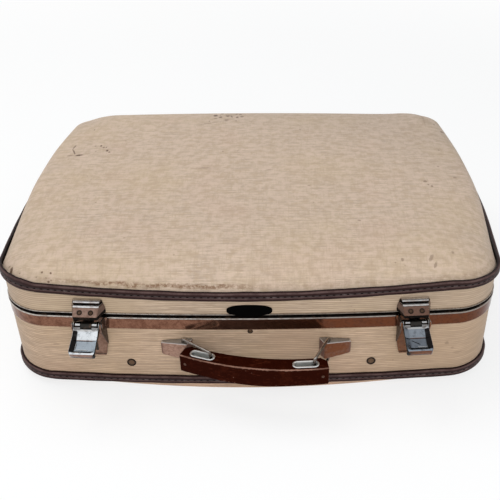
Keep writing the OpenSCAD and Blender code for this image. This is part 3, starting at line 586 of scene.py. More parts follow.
# A span below -1 lays the painted reflection on every face: a lighter tone on the left half, a darker one on the right.
ALL_ROUND = (-1.2, -1.1)
rim_bright = metal("rim_bright", (0.58, 0.54, 0.5), 0.2, front=((0.56, 0.52, 0.48), (0.33, 0.3, 0.275)),
                   ahead=ALL_ROUND)
rim_dim = metal("rim_dim", (0.42, 0.38, 0.34), 0.26, front=((0.42, 0.38, 0.34), (0.28, 0.24, 0.2)), ahead=ALL_ROUND)
# The polished strip: warm metal painted brown as a painted reflection of a brown floor, darker on the right half.
rim_floor_reflection = metal("rim_mirror", (0.225, 0.108, 0.069), 0.1, stain=(0.13, 0.06, 0.035), wave=0.1, matte=0.16,
                  front=((0.235, 0.112, 0.072), (0.14, 0.046, 0.021)))
# Near black: painted shade in the gap between lid and base and about the keepers, dark painted reflections on the lever
# barrels, and the scratch on the right lever.
black_shade_and_scratch = metal("black_shade_and_scratch", (0.012, 0.01, 0.009), 0.6)
stud_dark = metal("stud_ring", (0.03, 0.022, 0.018), 0.4)
stud_metal = metal("stud_metal", (0.13, 0.08, 0.05), 0.35, amount=0.7)
rivet_metal = metal("rivet_metal", (0.075, 0.046, 0.03), 0.4, amount=0.7)
pin_metal = metal("pin_metal", (0.1, 0.055, 0.04), 0.4)
steel = metal("steel", (0.45, 0.44, 0.43), 0.28, grime_and_gap_shade=0.6)
# Dark steel, near black: painted shade where the claws and springs sit back between the barrels.
claw_steel = metal("claw_steel", (0.035, 0.033, 0.03), 0.4)

# Shells

# By the inset from the edge: share of the lid's rise, the same where its shoulder is upright, and corner radius kept.
insets = np.array([0, 0.5, 1, 1.6, 2.4, 3.4, 4.6, 6, 8, 10, 12, 14, 17, 20, 23, 26, 30, 35, 40, 44, 50, 57, 63, 70,
                   80, 90, 100, 110, 125, 140, 160, 200])
lid_steps = (0, 1.6, 6, 14, 26, 44, 70, 110, 160)
lid_share, lid_stand = (smooth_steps(lid_steps, v, np.minimum(insets, lid_steps[-1])) for v in (
    (0, 0.07, 0.24, 0.45, 0.64, 0.81, 0.92, 0.98, 1), (0, 0.4, 0.68, 0.88, 0.95, 0.98, 1, 1, 1)))
lid_keep = np.interp(insets, lid_steps, (1, 1, 1, 0.96, 0.92, 0.86, 0.82, 0.8, 0.6))
deep = rim_y/B
cornering = np.clip((np.abs(rim_x)/(1 - BOW_END/A*deep**2) - A + R)/R, 0, 1)
upright = (np.maximum(cornering**2, 0.6*ease((deep - 0.63)*4))*ease((deep + 0.84)/0.84)
           *(1 - 0.5*ease((deep - 0.25)*1.4)))
LID_SWELL, CORNER_SWELL, SKIN = 6.5, 11, 2.4


def panel_ring(o, keep):
    return outline(o, max(R*keep, 12))


def swollen(p, h):
    """A ring of the pressed lid. It swells towards the hinges and at the back right, and its right shoulder is wide."""
    x, y = p.T
    swell = np.clip(1 - (x/270)**2, 0, 1)*np.clip(1 - ((y - 110)/200)**2, 0, 1)
    corner = np.exp(-((x - 262)/38)**2 - ((y - 190)/62)**2)
    wide = np.clip((x - 120)/150, 0, 1)*np.clip((y + 220)/150, 0, 1)
    wide *= 2.6 + 1.5*np.exp(-((y + 60)/110)**2)
    e = lid_edge + 0.02
    return raised(p + np.outer(wide*np.minimum(1, 2*h)*(1 - 0.6*h), (1, 0)),
                  e + (LID_TOP - e)*h + (LID_SWELL*swell + CORNER_SWELL*corner)*h*h)


def lid_panel():
    steps = [(i, h + (u - h)*upright, k) for i, h, u, k in zip(insets, lid_share, lid_stand, lid_keep)][::-1]
    outer = [swollen(panel_ring(WALL - i, k), h) for i, h, k in steps]
    inner = [swollen(panel_ring(INNER - i, k), h) - np.outer(SKIN*np.minimum(1, h*3), (0, 0, 1))
             for i, h, k in steps[::-1]]
    n = len(steps)
    bm = bmesh.new()
    bm.verts.layers.float_vector.new("drape")
    rows = add_skin(bm, outer + inner, tag=[*insets[::-1], *insets], mat=[0]*n + [1]*n)
    # Where each point lay on the flat cloth: the rise over the shoulder is unrolled outwards.
    drape = bm.verts.layers.float_vector["drape"]
    tangent = np.roll(rim, -1, 0) - np.roll(rim, 1, 0)
    away = np.c_[tangent[:, 1], -tangent[:, 0]]/np.hypot(*tangent.T)[:, None]
    spare = np.zeros(N)
    for row, ring, before in zip(rows, outer, outer[:1] + outer):
        move = ring - before
        spare = spare + np.linalg.norm(move, axis=1) - np.hypot(move[:, 0], move[:, 1])
        for v, p in zip(row, (ring[:, :2] + away*spare[:, None])*MM):
            v[drape] = (*p, 0)
    piece("lid_cover", bm, "lid", [top_cloth, lining], "lid_panel")


def base_panel():
    t, key = np.linspace(0, 6, 31), np.arange(7)
    # Inset and height of the rolled edge at the corners, and amid the long sides, where it swells.
    inset, z, low = (smooth_steps(key, v, t) for v in (
        (0, 0.3, 1.4, 6, 14, 26, 44), (13, 11.2, 9.5, 5.7, 2.7, 0.8, 0), (11, 7, 3.9, 1.5, 0.3, 0.05, 0)))
    full = np.interp(t, key, (0, -3, -4.8, -5.2, -3.4, 8, 44))
    keep = np.interp(inset, [0, 6, 14, 26, 44], [1, 1, 0.96, 0.92, 0.86])
    swell = along(rim, 0.88)
    rise = np.interp(t, [0, 1, 6], [0, 0.3, 1])*SKIN

    def rings(o, lift):
        return [raised(panel_ring(o - i, k)*(1 - swell[:, None]) + panel_ring(o - f, k)*swell[:, None],
                       np.minimum(h*(1 - swell) + b*swell + lift*u, base_edge))
                for i, f, k, h, b, u in zip(inset, full, keep, z, low, rise)]
    n = len(t)
    bm = bmesh.new()
    add_skin(bm, rings(INNER, 1)[::-1] + rings(WALL, 0), tag=[*inset[::-1], *inset], mat=[1]*n + [0]*n)
    piece("base_cover", bm, "base", [skirt_cloth, lining], "base_panel")


STITCH_PITCH, STITCH_L, STITCH_R = 7.8, 0.7, 0.72


def piping(name, zs, h, body, node, lift=0.0, spread=0.0):
    """Two stitched cords side by side, with the thread lying in the groove between them."""
    o, low = WALL + 0.05, PIPE_OUT - PIPE_GROOVE - 0.25
    half = [(low, 0.03*h, 1), (low + 0.3, 0.1*h, 0.8), (PIPE_OUT - 0.2, 0.24*h, 0.1), (PIPE_OUT, 0.42*h, 0),
            (PIPE_OUT, 0.6*h, 0), (PIPE_OUT - 0.3, 0.77*h, 0), (PIPE_OUT - 0.9, 0.9*h, 0.1),
            (0.45*PIPE_OUT, 0.985*h, 0.3), (0.5, h, 0.6), (o, h, 1)]
    section = [(x, -z, t) for x, z, t in half[::-1]] + half

    def ring_at(x):
        return outline(x) + np.outer(np.broadcast_to(spread, N)*(x - o)/(PIPE_OUT - o), (1, 0))
    uneven = 1 + 0.035*np.sin(run[:-1]/17) + 0.03*np.sin(run[:-1]/7.3 + 1)
    bm = bmesh.new()
    add_skin(bm, [raised(ring_at(x), zs + z*(uneven + (lift if z > 0 else 0))) for x, z, t in section], loop=True,
             tag=[t for x, z, t in section])
    piece(name, bm, body, piping_hide, node, 60)
    path = raised(ring_at(low + 0.25), zs)
    path = np.vstack([path, path[:1]])
    count = round(run[-1]/STITCH_PITCH)
    bm = bmesh.new()
    for i in range(count):
        d = (i + np.linspace(0.0, STITCH_L, 7))*run[-1]/count
        tube(bm, np.column_stack([np.interp(d, run, v) for v in path.T]),
             STITCH_R*np.array([0.3, 0.8, 1, 1, 1, 0.8, 0.3]), 6)
    piece(name + "_stitches", bm, body, thread)


lid_panel()
base_panel()
wall_top, wall_low = BASE_TOP - 1.2, LID_LOW + 1.2
ring_loft("base_wall_cover", [
    (WALL, base_edge, 0), (WALL, 60, 0), (WALL, wall_top, 0), (INNER, wall_top, 1), (INNER, base_edge, 1)],
    "base", [wall_cloth, lining], "base_wall")
ring_loft("lid_wall_cover", [(WALL, wall_low, 0), (WALL, lid_edge, 0), (INNER, lid_edge, 1), (INNER, wall_low, 1)],
          "lid", [lid_wall_cloth, lining], "lid_wall")
piping("base_piping_cords", base_edge, BASE_PIPE_H, "base", "base_piping")
# The upper cord is torn loose and stands up at the front left corner. On the right it has worked outwards.
torn = ease((-242 - rim_x)/3)*ease((-186 - rim_y)/16)*(0.42 + 0.08*np.sin(run[:-1]/2.3))
loose = 4.2*np.exp(-((rim_y + 20)/120)**2)*ease((rim_x - 150)/60)
piping("lid_piping_cords", lid_edge, LID_PIPE_H, "lid", "lid_piping", torn, loose)

strip_low = BASE_TOP - STRIP_H
ring_loft("base_rim", [
    (WALL, strip_low, 0), (-0.5, strip_low - 0.25, 0), (-0.1, strip_low, 0), (0, strip_low + 0.5, 0),
    (0, strip_low + 0.8, 0), (0, 101.6, 0), (0, 101.9, 0), (0.15, 102.2, 1), (0.5, 102.6, 1), (0.6, 103.1, 1),
    (0.45, 103.7, 1), (0.0, 104.1, 2), (-1.4, 104.3, 2), (-1.8, BASE_TOP, 2), (TONGUE, BASE_TOP, 2),
    (TONGUE, 110.2, 2), (TONGUE - 0.4, 110.5, 2), (TONGUE - 1.2, 110.5, 2), (TONGUE - 1.2, 103.6, 2), (WALL, 103.6, 0)],
    "base", [rim_floor_reflection, rim_bright, black_shade_and_scratch], "base_frame", 50)
ring_loft("lid_rim", [
    (WALL, 109.8, 0), (-0.6, 109.9, 0), (0.0, 109.7, 0), (0.3, 109.3, 0), (0.3, 108.9, 0), (0.05, 108.5, 0),
    (-0.3, 108.3, 1), (-1.4, 108.0, 1), (-1.6, LID_LOW, 1), (INNER, LID_LOW, 1), (INNER, 108.4, 1), (WALL, 108.4, 0)],
    "lid", [rim_dim, black_shade_and_scratch], "lid_frame", 50)
for half, low, high in (("base", PIPE_Z, 103.5), ("lid", 112, 130.5)):
    outer, inner = INNER - 0.02, INNER - 0.8
    ring_loft(half + "_lining_cloth", [(outer, low, 0), (inner, low, 0), (inner, high, 0), (outer, high, 0)],
              half, lining, half + "_lining")

# Latches

SEAT_Y, LATCH_LEAN, LATCH_SHIFT = -232.50, 3.342, 2.0
LATCH_REST = {-1: 21.0, 1: 16.0}
KEEPER_DROP = {-1: 0, 1: 0.6}


def latch_seat(side):
    a = radians(side*LATCH_LEAN)
    return frame_at((side*LATCH_X + LATCH_SHIFT*cos(a), SEAT_Y + LATCH_SHIFT*sin(a), 0), side*LATCH_LEAN)


def latch_piece(side, name, bm, body, mats, node, sharp):
    latch = "latch_" + SIDE[side]
    piece(latch + name, bm, body or latch, mats, latch + node, sharp=sharp)


def keeper(side):
    """Hollow hood: rolled top, groove, sloping face and flanks that flare to the wall."""
    outer = [(0.05, 128.8), (2.4, 128.8), (3.7, 128.6), (4.7, 128.15), (5.4, 127.6), (5.7, 127.0), (5.6, 126.4),
             (4.9, 125.9), (4.2, 125.6), (4.2, 125.0), (6.0, 124.65), (7.3, 124.6), (8.2, 124.2), (8.8, 123.5),
             (9.05, 123.15), (9.5, 122.55), (13.2, 119.8), (17.0, 117.0), (17.45, 116.4), (17.5, 115.6), (17.4, 112.5),
             (17.1, 112)]
    inner = [(14.4, 112), (14.4, 113.2), (16.2, 113.2), (16.2, 116.4), (8, 122.1), (4.2, 123.2), (3.2, 125),
             (2.2, 127.4), (0.05, 127.4)]
    rows = []
    for k, (o, z) in enumerate(outer + inner):
        slim = 1.2 if k >= len(outer) else 0
        f = np.interp(z, [112, 118, 124.6, 130.7], [13.4, 13.6, 14.6, 15.0]) - slim
        w = np.interp(z, [112, 119, 130.7], [19.5, 19.3, 15.8]) - slim
        half = [(w, 0.05), (0.5*(w + f), 0.5*(o + 0.05)), (f + 0.07*(w - f), 0.95*o), (f - 0.6, o), (0.5*f, o)]
        z -= KEEPER_DROP[side]*np.interp(z, [113.5, 117], [0, 1])
        row = [(-x, -y, z) for x, y in half] + [(0, -o, z)] + [(x, -y, z) for x, y in half[::-1]]
        rows.append(put(latch_seat(side), row))
    # Painted highlights on both rolls, in the bright copy of the plating; painted shade, near black, between and below
    # them and about the lower edge.
    mat = [0] + [2]*3 + [1]*6 + [2]*3 + [1] + [0]*4 + [1]*7 + [0]*6
    bm = bmesh.new()
    add_skin(bm, rows, loop=True, wrap=False, mat=mat)
    bmesh.ops.holes_fill(bm, edges=[e for e in bm.edges if e.is_boundary], sides=0)
    latch_piece(side, "_hood", bm, "lid", [chrome, black_shade_and_scratch, roll_metal], "_keeper", 35)


def housing(side):
    """Back plate with two cheeks for the pin and a turned-out foot."""
    fr = latch_seat(side)
    bm = bmesh.new()
    plate = [(-20, 104.3), (-17.4, 96), (-17, 72), (-12.5, 49), (12.5, 49), (17, 72), (17.4, 96), (20, 104.3),
             (6.7, 104.3), (6.7, 96), (-6.7, 96), (-6.7, 104.3)]
    prism(bm, fr, fillet(plate, [0.6, 3, 5, 2, 2, 5, 3, 0.6, 0.4, 1, 1, 0.4]), 0.05, 1.5, 0.45, axis=1)
    cheek = [(0.05, 104.3), (9, 106.3), (17.6, 106.3), (19.4, 102), (17.4, 95.5), (4, 71), (1.25, 66), (0.05, 66)]
    for lo in (-17, 15.5):
        prism(bm, fr, fillet(cheek, [0, 2.5, 2.5, 3, 6, 8, 0, 0]), lo, lo + 1.5, 0.4)
    foot = [(0.05, 49), (2.65, 49), (2.65, 50.6), (0.05, 50.6)]
    prism(bm, fr, fillet(foot, [0, 0.5, 0.5, 0]), -12.3, 12.3, 0.4)
    latch_piece(side, "_body", bm, "base", body_metal, "_housing", 35)


def lever(side):
    """A pan of pressed metal on two rolled barrels: upper facet, crease, dished lower facet and a turned lip."""
    fr = frame_at(put(latch_seat(side), [(0, -LATCH_OFF, LATCH_Z)])[0], side*LATCH_LEAN, LATCH_REST[side])
    us = [5.4, 6, 7, 7.3, 9, 12, 15, 17, 17.7, 18.1, 18.5, 19.3, 21, 23.5, 26, 28.5, 30.3, 31.6, 32.6, 33.4, 33.9, 34,
          35, 35.9, 36.35, 36.5]
    rows = []
    for u in us:
        hw = np.interp(u, [0, 32, 34.5, 35.9, 36.5], [14.4, 15, 14.5, 13.6, 12.7])
        top = np.interp(u, [5.4, 7, 13, 31.5, 34, 36, 36.5], [2.2, 1.3, -0.4, -1.0, -1.5, -1.9, -2.7])
        floor_z = np.interp(u, [5.4, 6.5, 7.2, 17.4, 18.1, 18.8, 20, 26, 31.6, 33, 34, 36, 36.5],
                            [0.4, -0.1, -0.6, -2.5, -3.3, -2.7, -2.9, -3.7, -3.2, -2.2, -1.9, -2.1, -2.9])
        low = np.interp(u, [33.95, 34, 35.9, 36.5], [-4.4, -9.6, -10.2, -9.2])
        slope = np.interp(u, [5, 8, 18, 32, 34, 36.5], [3.0, 5.2, 5.6, 5.0, 3.4, 2.4])
        drop = top - floor_z
        half = [(0.5*hw, low), (hw - 0.5, low), (hw, low + 0.5), (hw, top - 0.4), (hw - 0.15, top - 0.1),
                (hw - 0.4, top), (hw - 0.65, top - 0.1), (hw - 0.2*slope - 0.6, top - 0.2*drop),
                (hw - 0.85*slope - 0.6, top - 0.88*drop), (hw - slope - 0.6, floor_z + 0.04), (0.4*hw, floor_z)]
        ring = [(0, low)] + half + [(0, floor_z)] + [(-x, z) for x, z in half[::-1]]
        rows.append(put(fr, [(x, -u, z) for x, z in ring]))
    bm = bmesh.new()
    # The shelf takes the bright copy of the plating and the middle of the dish the dark one: painted light.
    add_skin(bm, rows, mat=[2 if u < 7.1 else 1 if 18 < u < 33 else 0 for u in us])
    # A pressed ridge round the dish, in the bright copy of the plating as a painted highlight, and one deep scratch on
    # the right lever.
    lines = [([(-8.2, 21.5, -2.75), (-8.6, 26, -3.35), (-8.5, 28.6, -3.4), (-7.4, 29.6, -3.25), (5.5, 29.6, -3.25)],
              0.42, 2)]
    if side > 0:
        lines = [([(-1.5, 28.4, -3.25), (-1, 29.8, -3.2), (8.5, 29.8, -3.2), (9, 28, -3.3)], 0.4, 2),
                 ([(-7.4, 21.2, -3.1), (-3, 23.6, -3.35), (1.6, 26.2, -3.6)], 0.4, 3)]
    for path, r, m in lines:
        for row in tube(bm, put(fr, [(x, -u, z) for x, u, z in path]), r, 8):
            for f in {f for v in row for f in v.link_faces}:
                f.material_index = m
    barrel = [(3.2, 6.5), (4.6, 6.5), (4.95, 6.8), (5, 7.3), (5, 12.2), (5, 14.2), (4.9, 14.75), (4.5, 15), (2.0, 15)]
    neck = fillet([(2, -4.1), (6.2, -4.1), (6.2, 0.3), (4.6, 2.3), (2, 3)], [0, 0, 0.6, 0.6, 0])
    t = round_steps(32)
    for s in (-1, 1):
        rows = add_skin(bm, [put(fr, np.c_[np.full(32, s*x), r*np.cos(t), r*np.sin(t)]) for r, x in barrel],
                        mat=[2]*4 + [3] + [2]*4)
        # Two dark bands of painted reflection run along each barrel, and its outer end is painted dark all round.
        for i in (6, 7, 11, 12):
            for a, b in zip(rows[2:5], rows[3:6]):
                next(f for f in a[i].link_faces if b[(i + 1) % 32] in f.verts).material_index = 3
        prism(bm, fr, neck, *sorted((s*6.5, s*14.3)), 0.25, mat=2)
    latch_piece(side, "_pan", bm, None, lever_plate[side] + [black_shade_and_scratch], "_lever", 42)


def keeper_studs(side):
    """Two sunken rivets on the sloping face of the hood."""
    slope = degrees(atan2(5.3, 7.4))
    bm = bmesh.new()
    for x in (-6.4, 6.4):
        at = put(latch_seat(side), [(x, -13.3, 119.65 - KEEPER_DROP[side])])[0]
        lathe(bm, frame_at(at, side*LATCH_LEAN, -(90 - slope)),
              [(0.6, -2), (3.05, -2), (3.1, 0.15), (2.8, 0.5), (2.3, 0.45), (1.8, 0.1), (1.2, 0.35), (0.05, 0.45)], 28,
              mat=[1]*5 + [0]*3)
    latch_piece(side, "_studs", bm, "lid", [rivet_metal, stud_dark], "_rivets", 50)


for side in SIDE:
    keeper(side)
    housing(side)
    lever(side)
    keeper_studs(side)

# Handle

HANDLE_Z, RING_L, RING_H, RING_R, WIRE = 62.0, 42.4, 16.0, 2.6, 1.75
PIVOT = {-1: (-78.4, -241.909), 1: (91.2, -241.545)}
RING_TURN = {-1: -36.5, 1: 244.5}
BRACKET_TURN = degrees(atan((edge_y(120) - edge_y(60))/60))
BEND, BEND_MID, GRIP_TURN, GRIP_Z = 300.0, (45.95, 18.97), -8.046, 60.4
GRIP_L, GRIP_T, GRIP_H, SLOT_S, SLOT_L, SLOT_W = 166.0, 18.5, 23.5, 59.36, 26.0, 7.5
GRIP_FRAME = frame_at((*BEND_MID, GRIP_Z), GRIP_TURN)
PIN_S = 77.5


def bracket(side):
    """Humped shoe that holds the leg of a ring."""
    fr = frame_at((*PIVOT[side], HANDLE_Z), side*BRACKET_TURN)
    rows = []
    for x in (-26, -25.6, -25, -24.2, -16, -8, 0, 2, 3.4, 4.6, 5.4, 6, 7, 8.5, 10, 10.5):
        out = np.interp(x, [-26, -25.6, -24.5, 2, 4.6, 5.4, 6, 10.5], [2.0, 2.7, 3.6, 10.2, 10.5, 10.2, 9.3, 1.2])
        low = -np.interp(x, [-26, -25, -22, 2, 12], [8.2, 9.0, 9.6, 11.8, 11.8])
        high = np.interp(x, [-26, -25, -24, 2, 12], [7.6, 8.6, 9, 11.8, 11.8])
        front, r = 5 - out, min(1.3, 0.4*out)
        ring = [(6.1, low), (front + r, low), (front + 0.3*r, low + 0.3*r), (front, low + r), (front, 0.5*low),
                (front - 0.25, 0), (front, 0.5*high), (front, high - r), (front + 0.3*r, high - 0.3*r),
                (front + r, high), (6.1, high)]
        rows.append(put(fr, [(-side*x, y, z) for y, z in ring]))
    bm = bmesh.new()
    add_skin(bm, rows)
    piece("handle_shoe_" + SIDE[side], bm, "base", shoe_metal, "handle_bracket_" + SIDE[side],
          sharp=35)


def ring(side):
    """Wire bent to a rounded oblong."""
    fr = frame_at((*PIVOT[side], HANDLE_Z), RING_TURN[side])
    r, path, fine = RING_R, [], []
    far, high = RING_L - r, RING_H - r
    for cx, cz, t0 in ((far, high, 0), (r, high, 90), (r, -high, 180), (far, -high, 270)):
        t = np.radians(np.linspace(t0, t0 + 90, 7))
        path += [(cx + r*cos(a), 0, cz + r*sin(a)) for a in t]
    for a, b in zip(path, path[1:] + path[:1]):
        fine += [*np.linspace(a, b, max(1, int(dist(a, b)/3)), endpoint=False)]
    bm = bmesh.new()
    tube(bm, put(fr, fine), WIRE, 16, closed=True, normal=fr[:, 1])
    bail = "bail_" + SIDE[side]
    piece(bail + "_wire", bm, bail, wire_metal, bail)


def on_grip(s, y, z):
    """From (distance along the bend, across, height) to the case. -y is the outer side of the bend."""
    s, y, z = np.broadcast_arrays(np.asarray(s, float), y, z)
    a = s/BEND
    return put(GRIP_FRAME, np.stack([(BEND - y)*np.sin(a), -(BEND - y)*np.cos(a), z], -1).reshape(-1, 3))


def obround(l, w, n=14):
    """Outline of a slot: middles of its rounds, outward directions and radius."""
    t = np.radians(np.concatenate([np.linspace(-90, 90, n), np.linspace(90, 270, n)]))
    shift = np.where(np.arange(2*n) < n, 1, -1)*(l - w)/2
    return np.c_[shift, np.zeros(2*n)], np.c_[np.cos(t), np.sin(t)], w/2


def along_grip(s, y=0, z=0, about=0):
    """A frame on the grip, turned with the bend."""
    return frame_at(on_grip(s, y, z)[0], GRIP_TURN + degrees(s/BEND) + about)


def round_at(s, path, d, r, z):
    """A slot outline, set at a place along the grip."""
    return put(along_grip(s, z=z), raised(path + d*r, 0))


def grip():
    """Bent leather bar with clipped ends and two slots."""
    half_t, half_h, half_l = GRIP_T/2, GRIP_H/2, GRIP_L/2 + 1.2
    cut, nip = 6.5, 1.1
    ends = [half_l - cut + v for v in (2.2, 4.4, 5.6, 6.1, 6.4, 6.5)]
    rows = []
    for s in [-v for v in ends[::-1]] + list(np.linspace(-half_l + cut, half_l - cut, 57)) + ends:
        past = max(0, abs(s) - (half_l - cut))
        nib = nip*max(0, (past - 5.6)/0.9)**2
        back, front, top = half_t + 1.2 - 0.95*past, -half_t + nib, half_h + 0.3 - nib
        low = top + 0.2 + 2.3*max(0, 1 - (s/52)**2)
        corners = fillet([(front, -low), (back, -top), (back, top), (front, top)], [1.9, 3.2, 3.2, 1.3], 6)
        mid = np.array([[front, z] for z in (0.6*top, 0.2*top, -0.2*top, -0.6*top)])
        rows.append(on_grip(s, *np.vstack([corners, mid]).T))
    bar, holes = bmesh.new(), bmesh.new()
    add_skin(bar, rows)
    slot = obround(SLOT_L + 2, SLOT_W + 2)
    for s in (-SLOT_S, SLOT_S):
        add_skin(holes, [round_at(s, *slot, z) for z in (-20, 20)])
    for bm in (bar, holes):
        bmesh.ops.recalc_face_normals(bm, faces=bm.faces)
    blank, slots = mesh_object("grip_blank", bar), mesh_object("grip_slots", holes)
    mod = blank.modifiers.new("slots", "BOOLEAN")
    mod.object, mod.operation, mod.solver = slots, "DIFFERENCE", "EXACT"
    bm = bmesh.new()
    bm.from_object(blank, bpy.context.evaluated_depsgraph_get())
    for ob in (blank, slots):
        bpy.data.objects.remove(ob)
    # Wear along the long edges, most of all on the upper outer one, and at the ends.
    layer = inset_layer(bm)
    for v in bm.verts:
        dx, dy = v.co.x - BEND_MID[0], v.co.y - BEND_MID[1]
        y, z = BEND - hypot(dx, dy), v.co.z - GRIP_Z
        wear_and_reflection = [k*max(0, 1 - hypot(y - cy, z - cz)/1.9) for cy, cz, k in
                ((-half_t, half_h, 1.35), (half_t, half_h, 0.7), (-half_t, -half_h, 0.6))]
        s = abs(BEND*(atan2(dx, -dy) - radians(GRIP_TURN)))
        v[layer] = max(wear_and_reflection + [0.75*max(0, 1 - (half_l - s)/2.2)])
    piece("handle_leather", bm, "handle", grip_hide, "handle_grip", 50)


def eyelets():
    top = GRIP_H/2
    lip = [(0.25, 0.5), (0.7, 0.8), (1.3, 0.85), (1.9, 0.65), (2.3, 0.25), (2.35, 0.02)]
    section = ([(1.12, -top + 0.3)] + [(x, -top - 0.7*z) for x, z in lip[::-1]]
               + [(0, -top - 0.1), (0, 0), (0, top + 0.1)] + [(x, top + z) for x, z in lip] + [(1.12, top - 0.3)])
    path, d, r = obround(SLOT_L, SLOT_W)
    bm = bmesh.new()
    for s in (-SLOT_S, SLOT_S):
        add_skin(bm, [round_at(s, path, d, r + x, z) for x, z in section], loop=True)
    piece("handle_ferrules", bm, "handle", ferrule, "handle_eyelets", 60)


def pins():
    bm = bmesh.new()
    for s in (-PIN_S, PIN_S):
        for y, about in ((-1, 0), (1, 180)):
            lathe(bm, along_grip(s, y*GRIP_T/2, 0, about),
                  [(1.1, -1.5), (1.75, -0.1), (1.8, 0.12), (1.5, 0.35), (0.8, 0.42), (0.05, 0.44)], 20)
    piece("handle_pin_heads", bm, "handle", pin_metal, "handle_pins", 50)


for side in SIDE:
    bracket(side)
    ring(side)
grip()
eyelets()
pins()

# Plate and studs

SEAT_MID = edge_y(60)
BADGE_Z, BADGE_A, BADGE_B, BADGE_FULL = 115.5, 26.0, 7.1, 0.84
STUD_X, STUD_Z, MID_STUD_Z, FOOT_X = 143, 35.5, 84.4, 140
LEAF_T, HEAD_R, HEAD_TURN = 1.4, 2.45, 63


def badge():
    t = round_steps(72)
    c, s = np.cos(t), np.sin(t)
    poly = np.c_[BADGE_A*np.sign(c)*np.abs(c)**BADGE_FULL, BADGE_B*np.sign(s)*np.abs(s)**BADGE_FULL][::-1]
    bm = bmesh.new()
    prism(bm, frame_at((0, SEAT_MID, BADGE_Z)), poly, -1.1, 2.0, 0.8, axis=1)
    piece("badge_blank", bm, "lid", enamel, "badge_plate", 60)


def studs():
    bm = bmesh.new()
    # A dark ring, then a dome.
    stud = [(3.4, -1.3), (5, -1.3), (5, 0.1), (4.8, 0.6), (4.3, 0.85), (3.7, 0.7), (3.4, 0.25),
            (3.35, 0.3), (2.7, 0.75), (1.7, 1.05), (0.7, 1.2), (0.05, 1.22)]
    for side in SIDE:
        x = side*STUD_X
        lean = degrees(atan((edge_y(STUD_X + 5) - edge_y(STUD_X - 5))/10))*side
        lathe(bm, frame_at((x, edge_y(x) + 0.9, STUD_Z), lean), [(k*1.1, h) for k, h in stud], 36, mat=[1]*7 + [0]*5)
    lathe(bm, frame_at((0, SEAT_MID + 0.7, MID_STUD_Z)), [(k*0.64, h*0.8) for k, h in stud], 28, mat=[1]*6 + [0]*6)
    piece("front_studs", bm, "base", [stud_metal, stud_dark], "front_rivets", 50)
    foot = [(3, -1), (7, -1), (7, 1.2), (6.8, 1.7), (6.2, 1.9), (6.0, 2.2), (5.6, 3.0), (4.4, 3.9), (2.6, 4.4),
            (0.05, 4.5)]
    for half, z in (("base", 40), ("lid", 122.3)):
        bm = bmesh.new()
        for x in (-FOOT_X, FOOT_X):
            lathe(bm, frame_at((x, edge_y(x, B) - 0.9, z), 180), foot, 40)
        piece(half + "_foot_studs", bm, half, stud_metal, half + "_feet", 50)


def hinge_screws():
    """Slotted heads over the screw holes of the hinge leaves."""
    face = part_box("hinge_left_base_leaf")[0][1]*1000 + LEAF_T
    arc = np.radians(np.linspace(-80, 80, 15))
    for half, z, start in (("base", 95.8, 25), ("lid", 119.8, 65)):
        bm = bmesh.new()
        for k, x in enumerate((-196, -174, 174, 196)):
            fr = frame_at((x, face, z), 180)
            lathe(bm, fr, [(1.3, -0.6), (2.8, 0), (2.85, 0.15), (2.7, 0.3), (0.05, 0.32)], 28)
            for flip in (0, np.pi):
                t = arc + np.radians(start + HEAD_TURN*k) + flip
                prism(bm, fr, HEAD_R*np.c_[np.cos(t), np.sin(t)], 0.3, 0.95, 0.3, axis=1)
        piece("hinge_%s_screws" % half, bm, half, steel)


badge()
studs()
hinge_screws()

# Camera, light and floor

yaw, pitch, roll = 0.002898, 0.578918, -0.004756
cam = bpy.data.cameras.new("camera")
cam.sensor_width, cam.lens = 36, 53.74
cam.shift_x, cam.shift_y = -0.0656, 0.0048
cam_ob = add_object("camera", cam)
cam_ob.matrix_world = (Matrix.Translation((0.036205, -0.909449, 0.632611)) @ Matrix.Rotation(-yaw, 4, "Z")
                       @ Matrix.Rotation(pi/2 - pitch, 4, "X") @ Matrix.Rotation(roll, 4, "Z"))
bpy.context.scene.camera = cam_ob

AIM = (0, 0, 0.1)
for name, place, size, power, color in (
        ("key", (-0.9, 0.5, 2.2), 1.6, 21.5, (1, 0.985, 0.96)), ("fill", (0.15, -1.95, 1.4), 1.4, 24, (0.98, 0.99, 1))):
    lamp = bpy.data.lights.new(name, "AREA")
    lamp.shape, lamp.size, lamp.energy, lamp.color = "DISK", size, power, color
    ob = add_object(name, lamp)
    ob.location = place
    ob.rotation_euler = (Vector(AIM) - Vector(place)).to_track_quat("-Z", "Y").to_euler()
    ob.visible_glossy = False


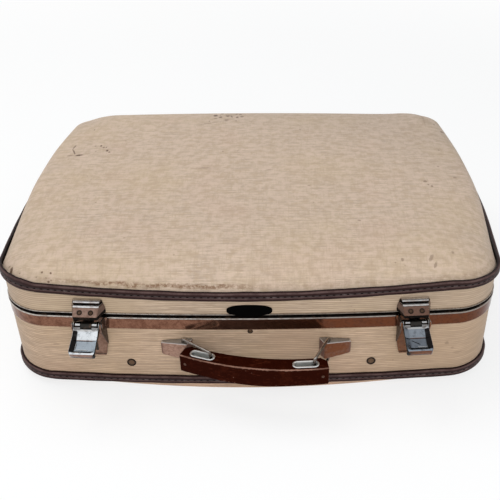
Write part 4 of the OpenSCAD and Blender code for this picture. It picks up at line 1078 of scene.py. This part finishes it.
def white_if_seen(tree, plain, white, share=1.0):
    """Mixes in white for what the camera sees, straight, mirrored or through glass."""
    rays = add_node(tree, "LightPath", out=None)
    seen = rays["Is Camera Ray"]
    for op, v in (("MAXIMUM", rays["Is Glossy Ray"]), ("MAXIMUM", rays["Is Transmission Ray"]), ("MULTIPLY", share)):
        seen = add_node(tree, "Math", {0: seen, 1: v}, operation=op)
    return add_node(tree, "MixShader", {0: seen, 1: plain, 2: white})


def floor_paint():
    """Pale floor. Seen directly or mirrored it is mostly plain white, and still keeps the shadow."""
    s = Shader("floor", (0.93, 0.93, 0.93), 0.9)
    far = s.times(s.step(s.length(s.coords), 0.7, 2.2), 0.28, 0.72)
    both = white_if_seen(s.tree, s.bsdf.outputs[0], s.add("Emission", {"Color": (1, 1, 1), "Strength": 1.0}), far)
    s.tree.links.new(both, next(n for n in s.tree.nodes if n.type == "OUTPUT_MATERIAL").inputs[0])
    return s.mat


def studio():
    """Soft light from all round, before a white backdrop."""
    world = bpy.data.worlds.new("studio")
    world.use_nodes = True
    bpy.context.scene.world = world
    t = world.node_tree
    t.nodes.clear()
    soft, white = (add_node(t, "Background", {"Color": color, "Strength": power})
                   for color, power in (((0.93, 0.97, 1), 0.55), ((1, 1, 1), 1.0)))
    add_node(t, "OutputWorld", {0: white_if_seen(t, soft, white)}, None)


FLOOR_HALF, FLOOR_Z = 6, -0.0004
floor = bpy.data.meshes.new("floor")
floor.from_pydata([(x*FLOOR_HALF, y*FLOOR_HALF, FLOOR_Z) for x, y in ((-1, -1), (1, -1), (1, 1), (-1, 1))], [],
                  [(0, 1, 2, 3)])
floor.materials.append(floor_paint())
floor_ob = add_object("floor", floor)
studio()
bpy.context.scene.view_settings.view_transform = "Standard"

# CAD nodes that keep their shape

by_slot = {"stud": stud_metal, "hinge": steel, "steel": steel, "plated": chrome, "badge": enamel, "grip": grip_hide,
           "lining": lining}
for sub in frame["record"]["subparts"]:
    ob = nodes[sub["node"]]
    if sub["node"].startswith("hinge_"):
        edge = ob.modifiers.new("edges", "BEVEL")
        edge.width, edge.segments, edge.limit_method, edge.angle_limit = 0.0004, 2, "ANGLE", radians(40)
    mat = claw_steel if sub["node"].endswith(("_claw", "_spring")) else by_slot.get(sub["material_slot"])
    if mat:
        ob.data.materials.clear()
        ob.data.materials.append(mat)
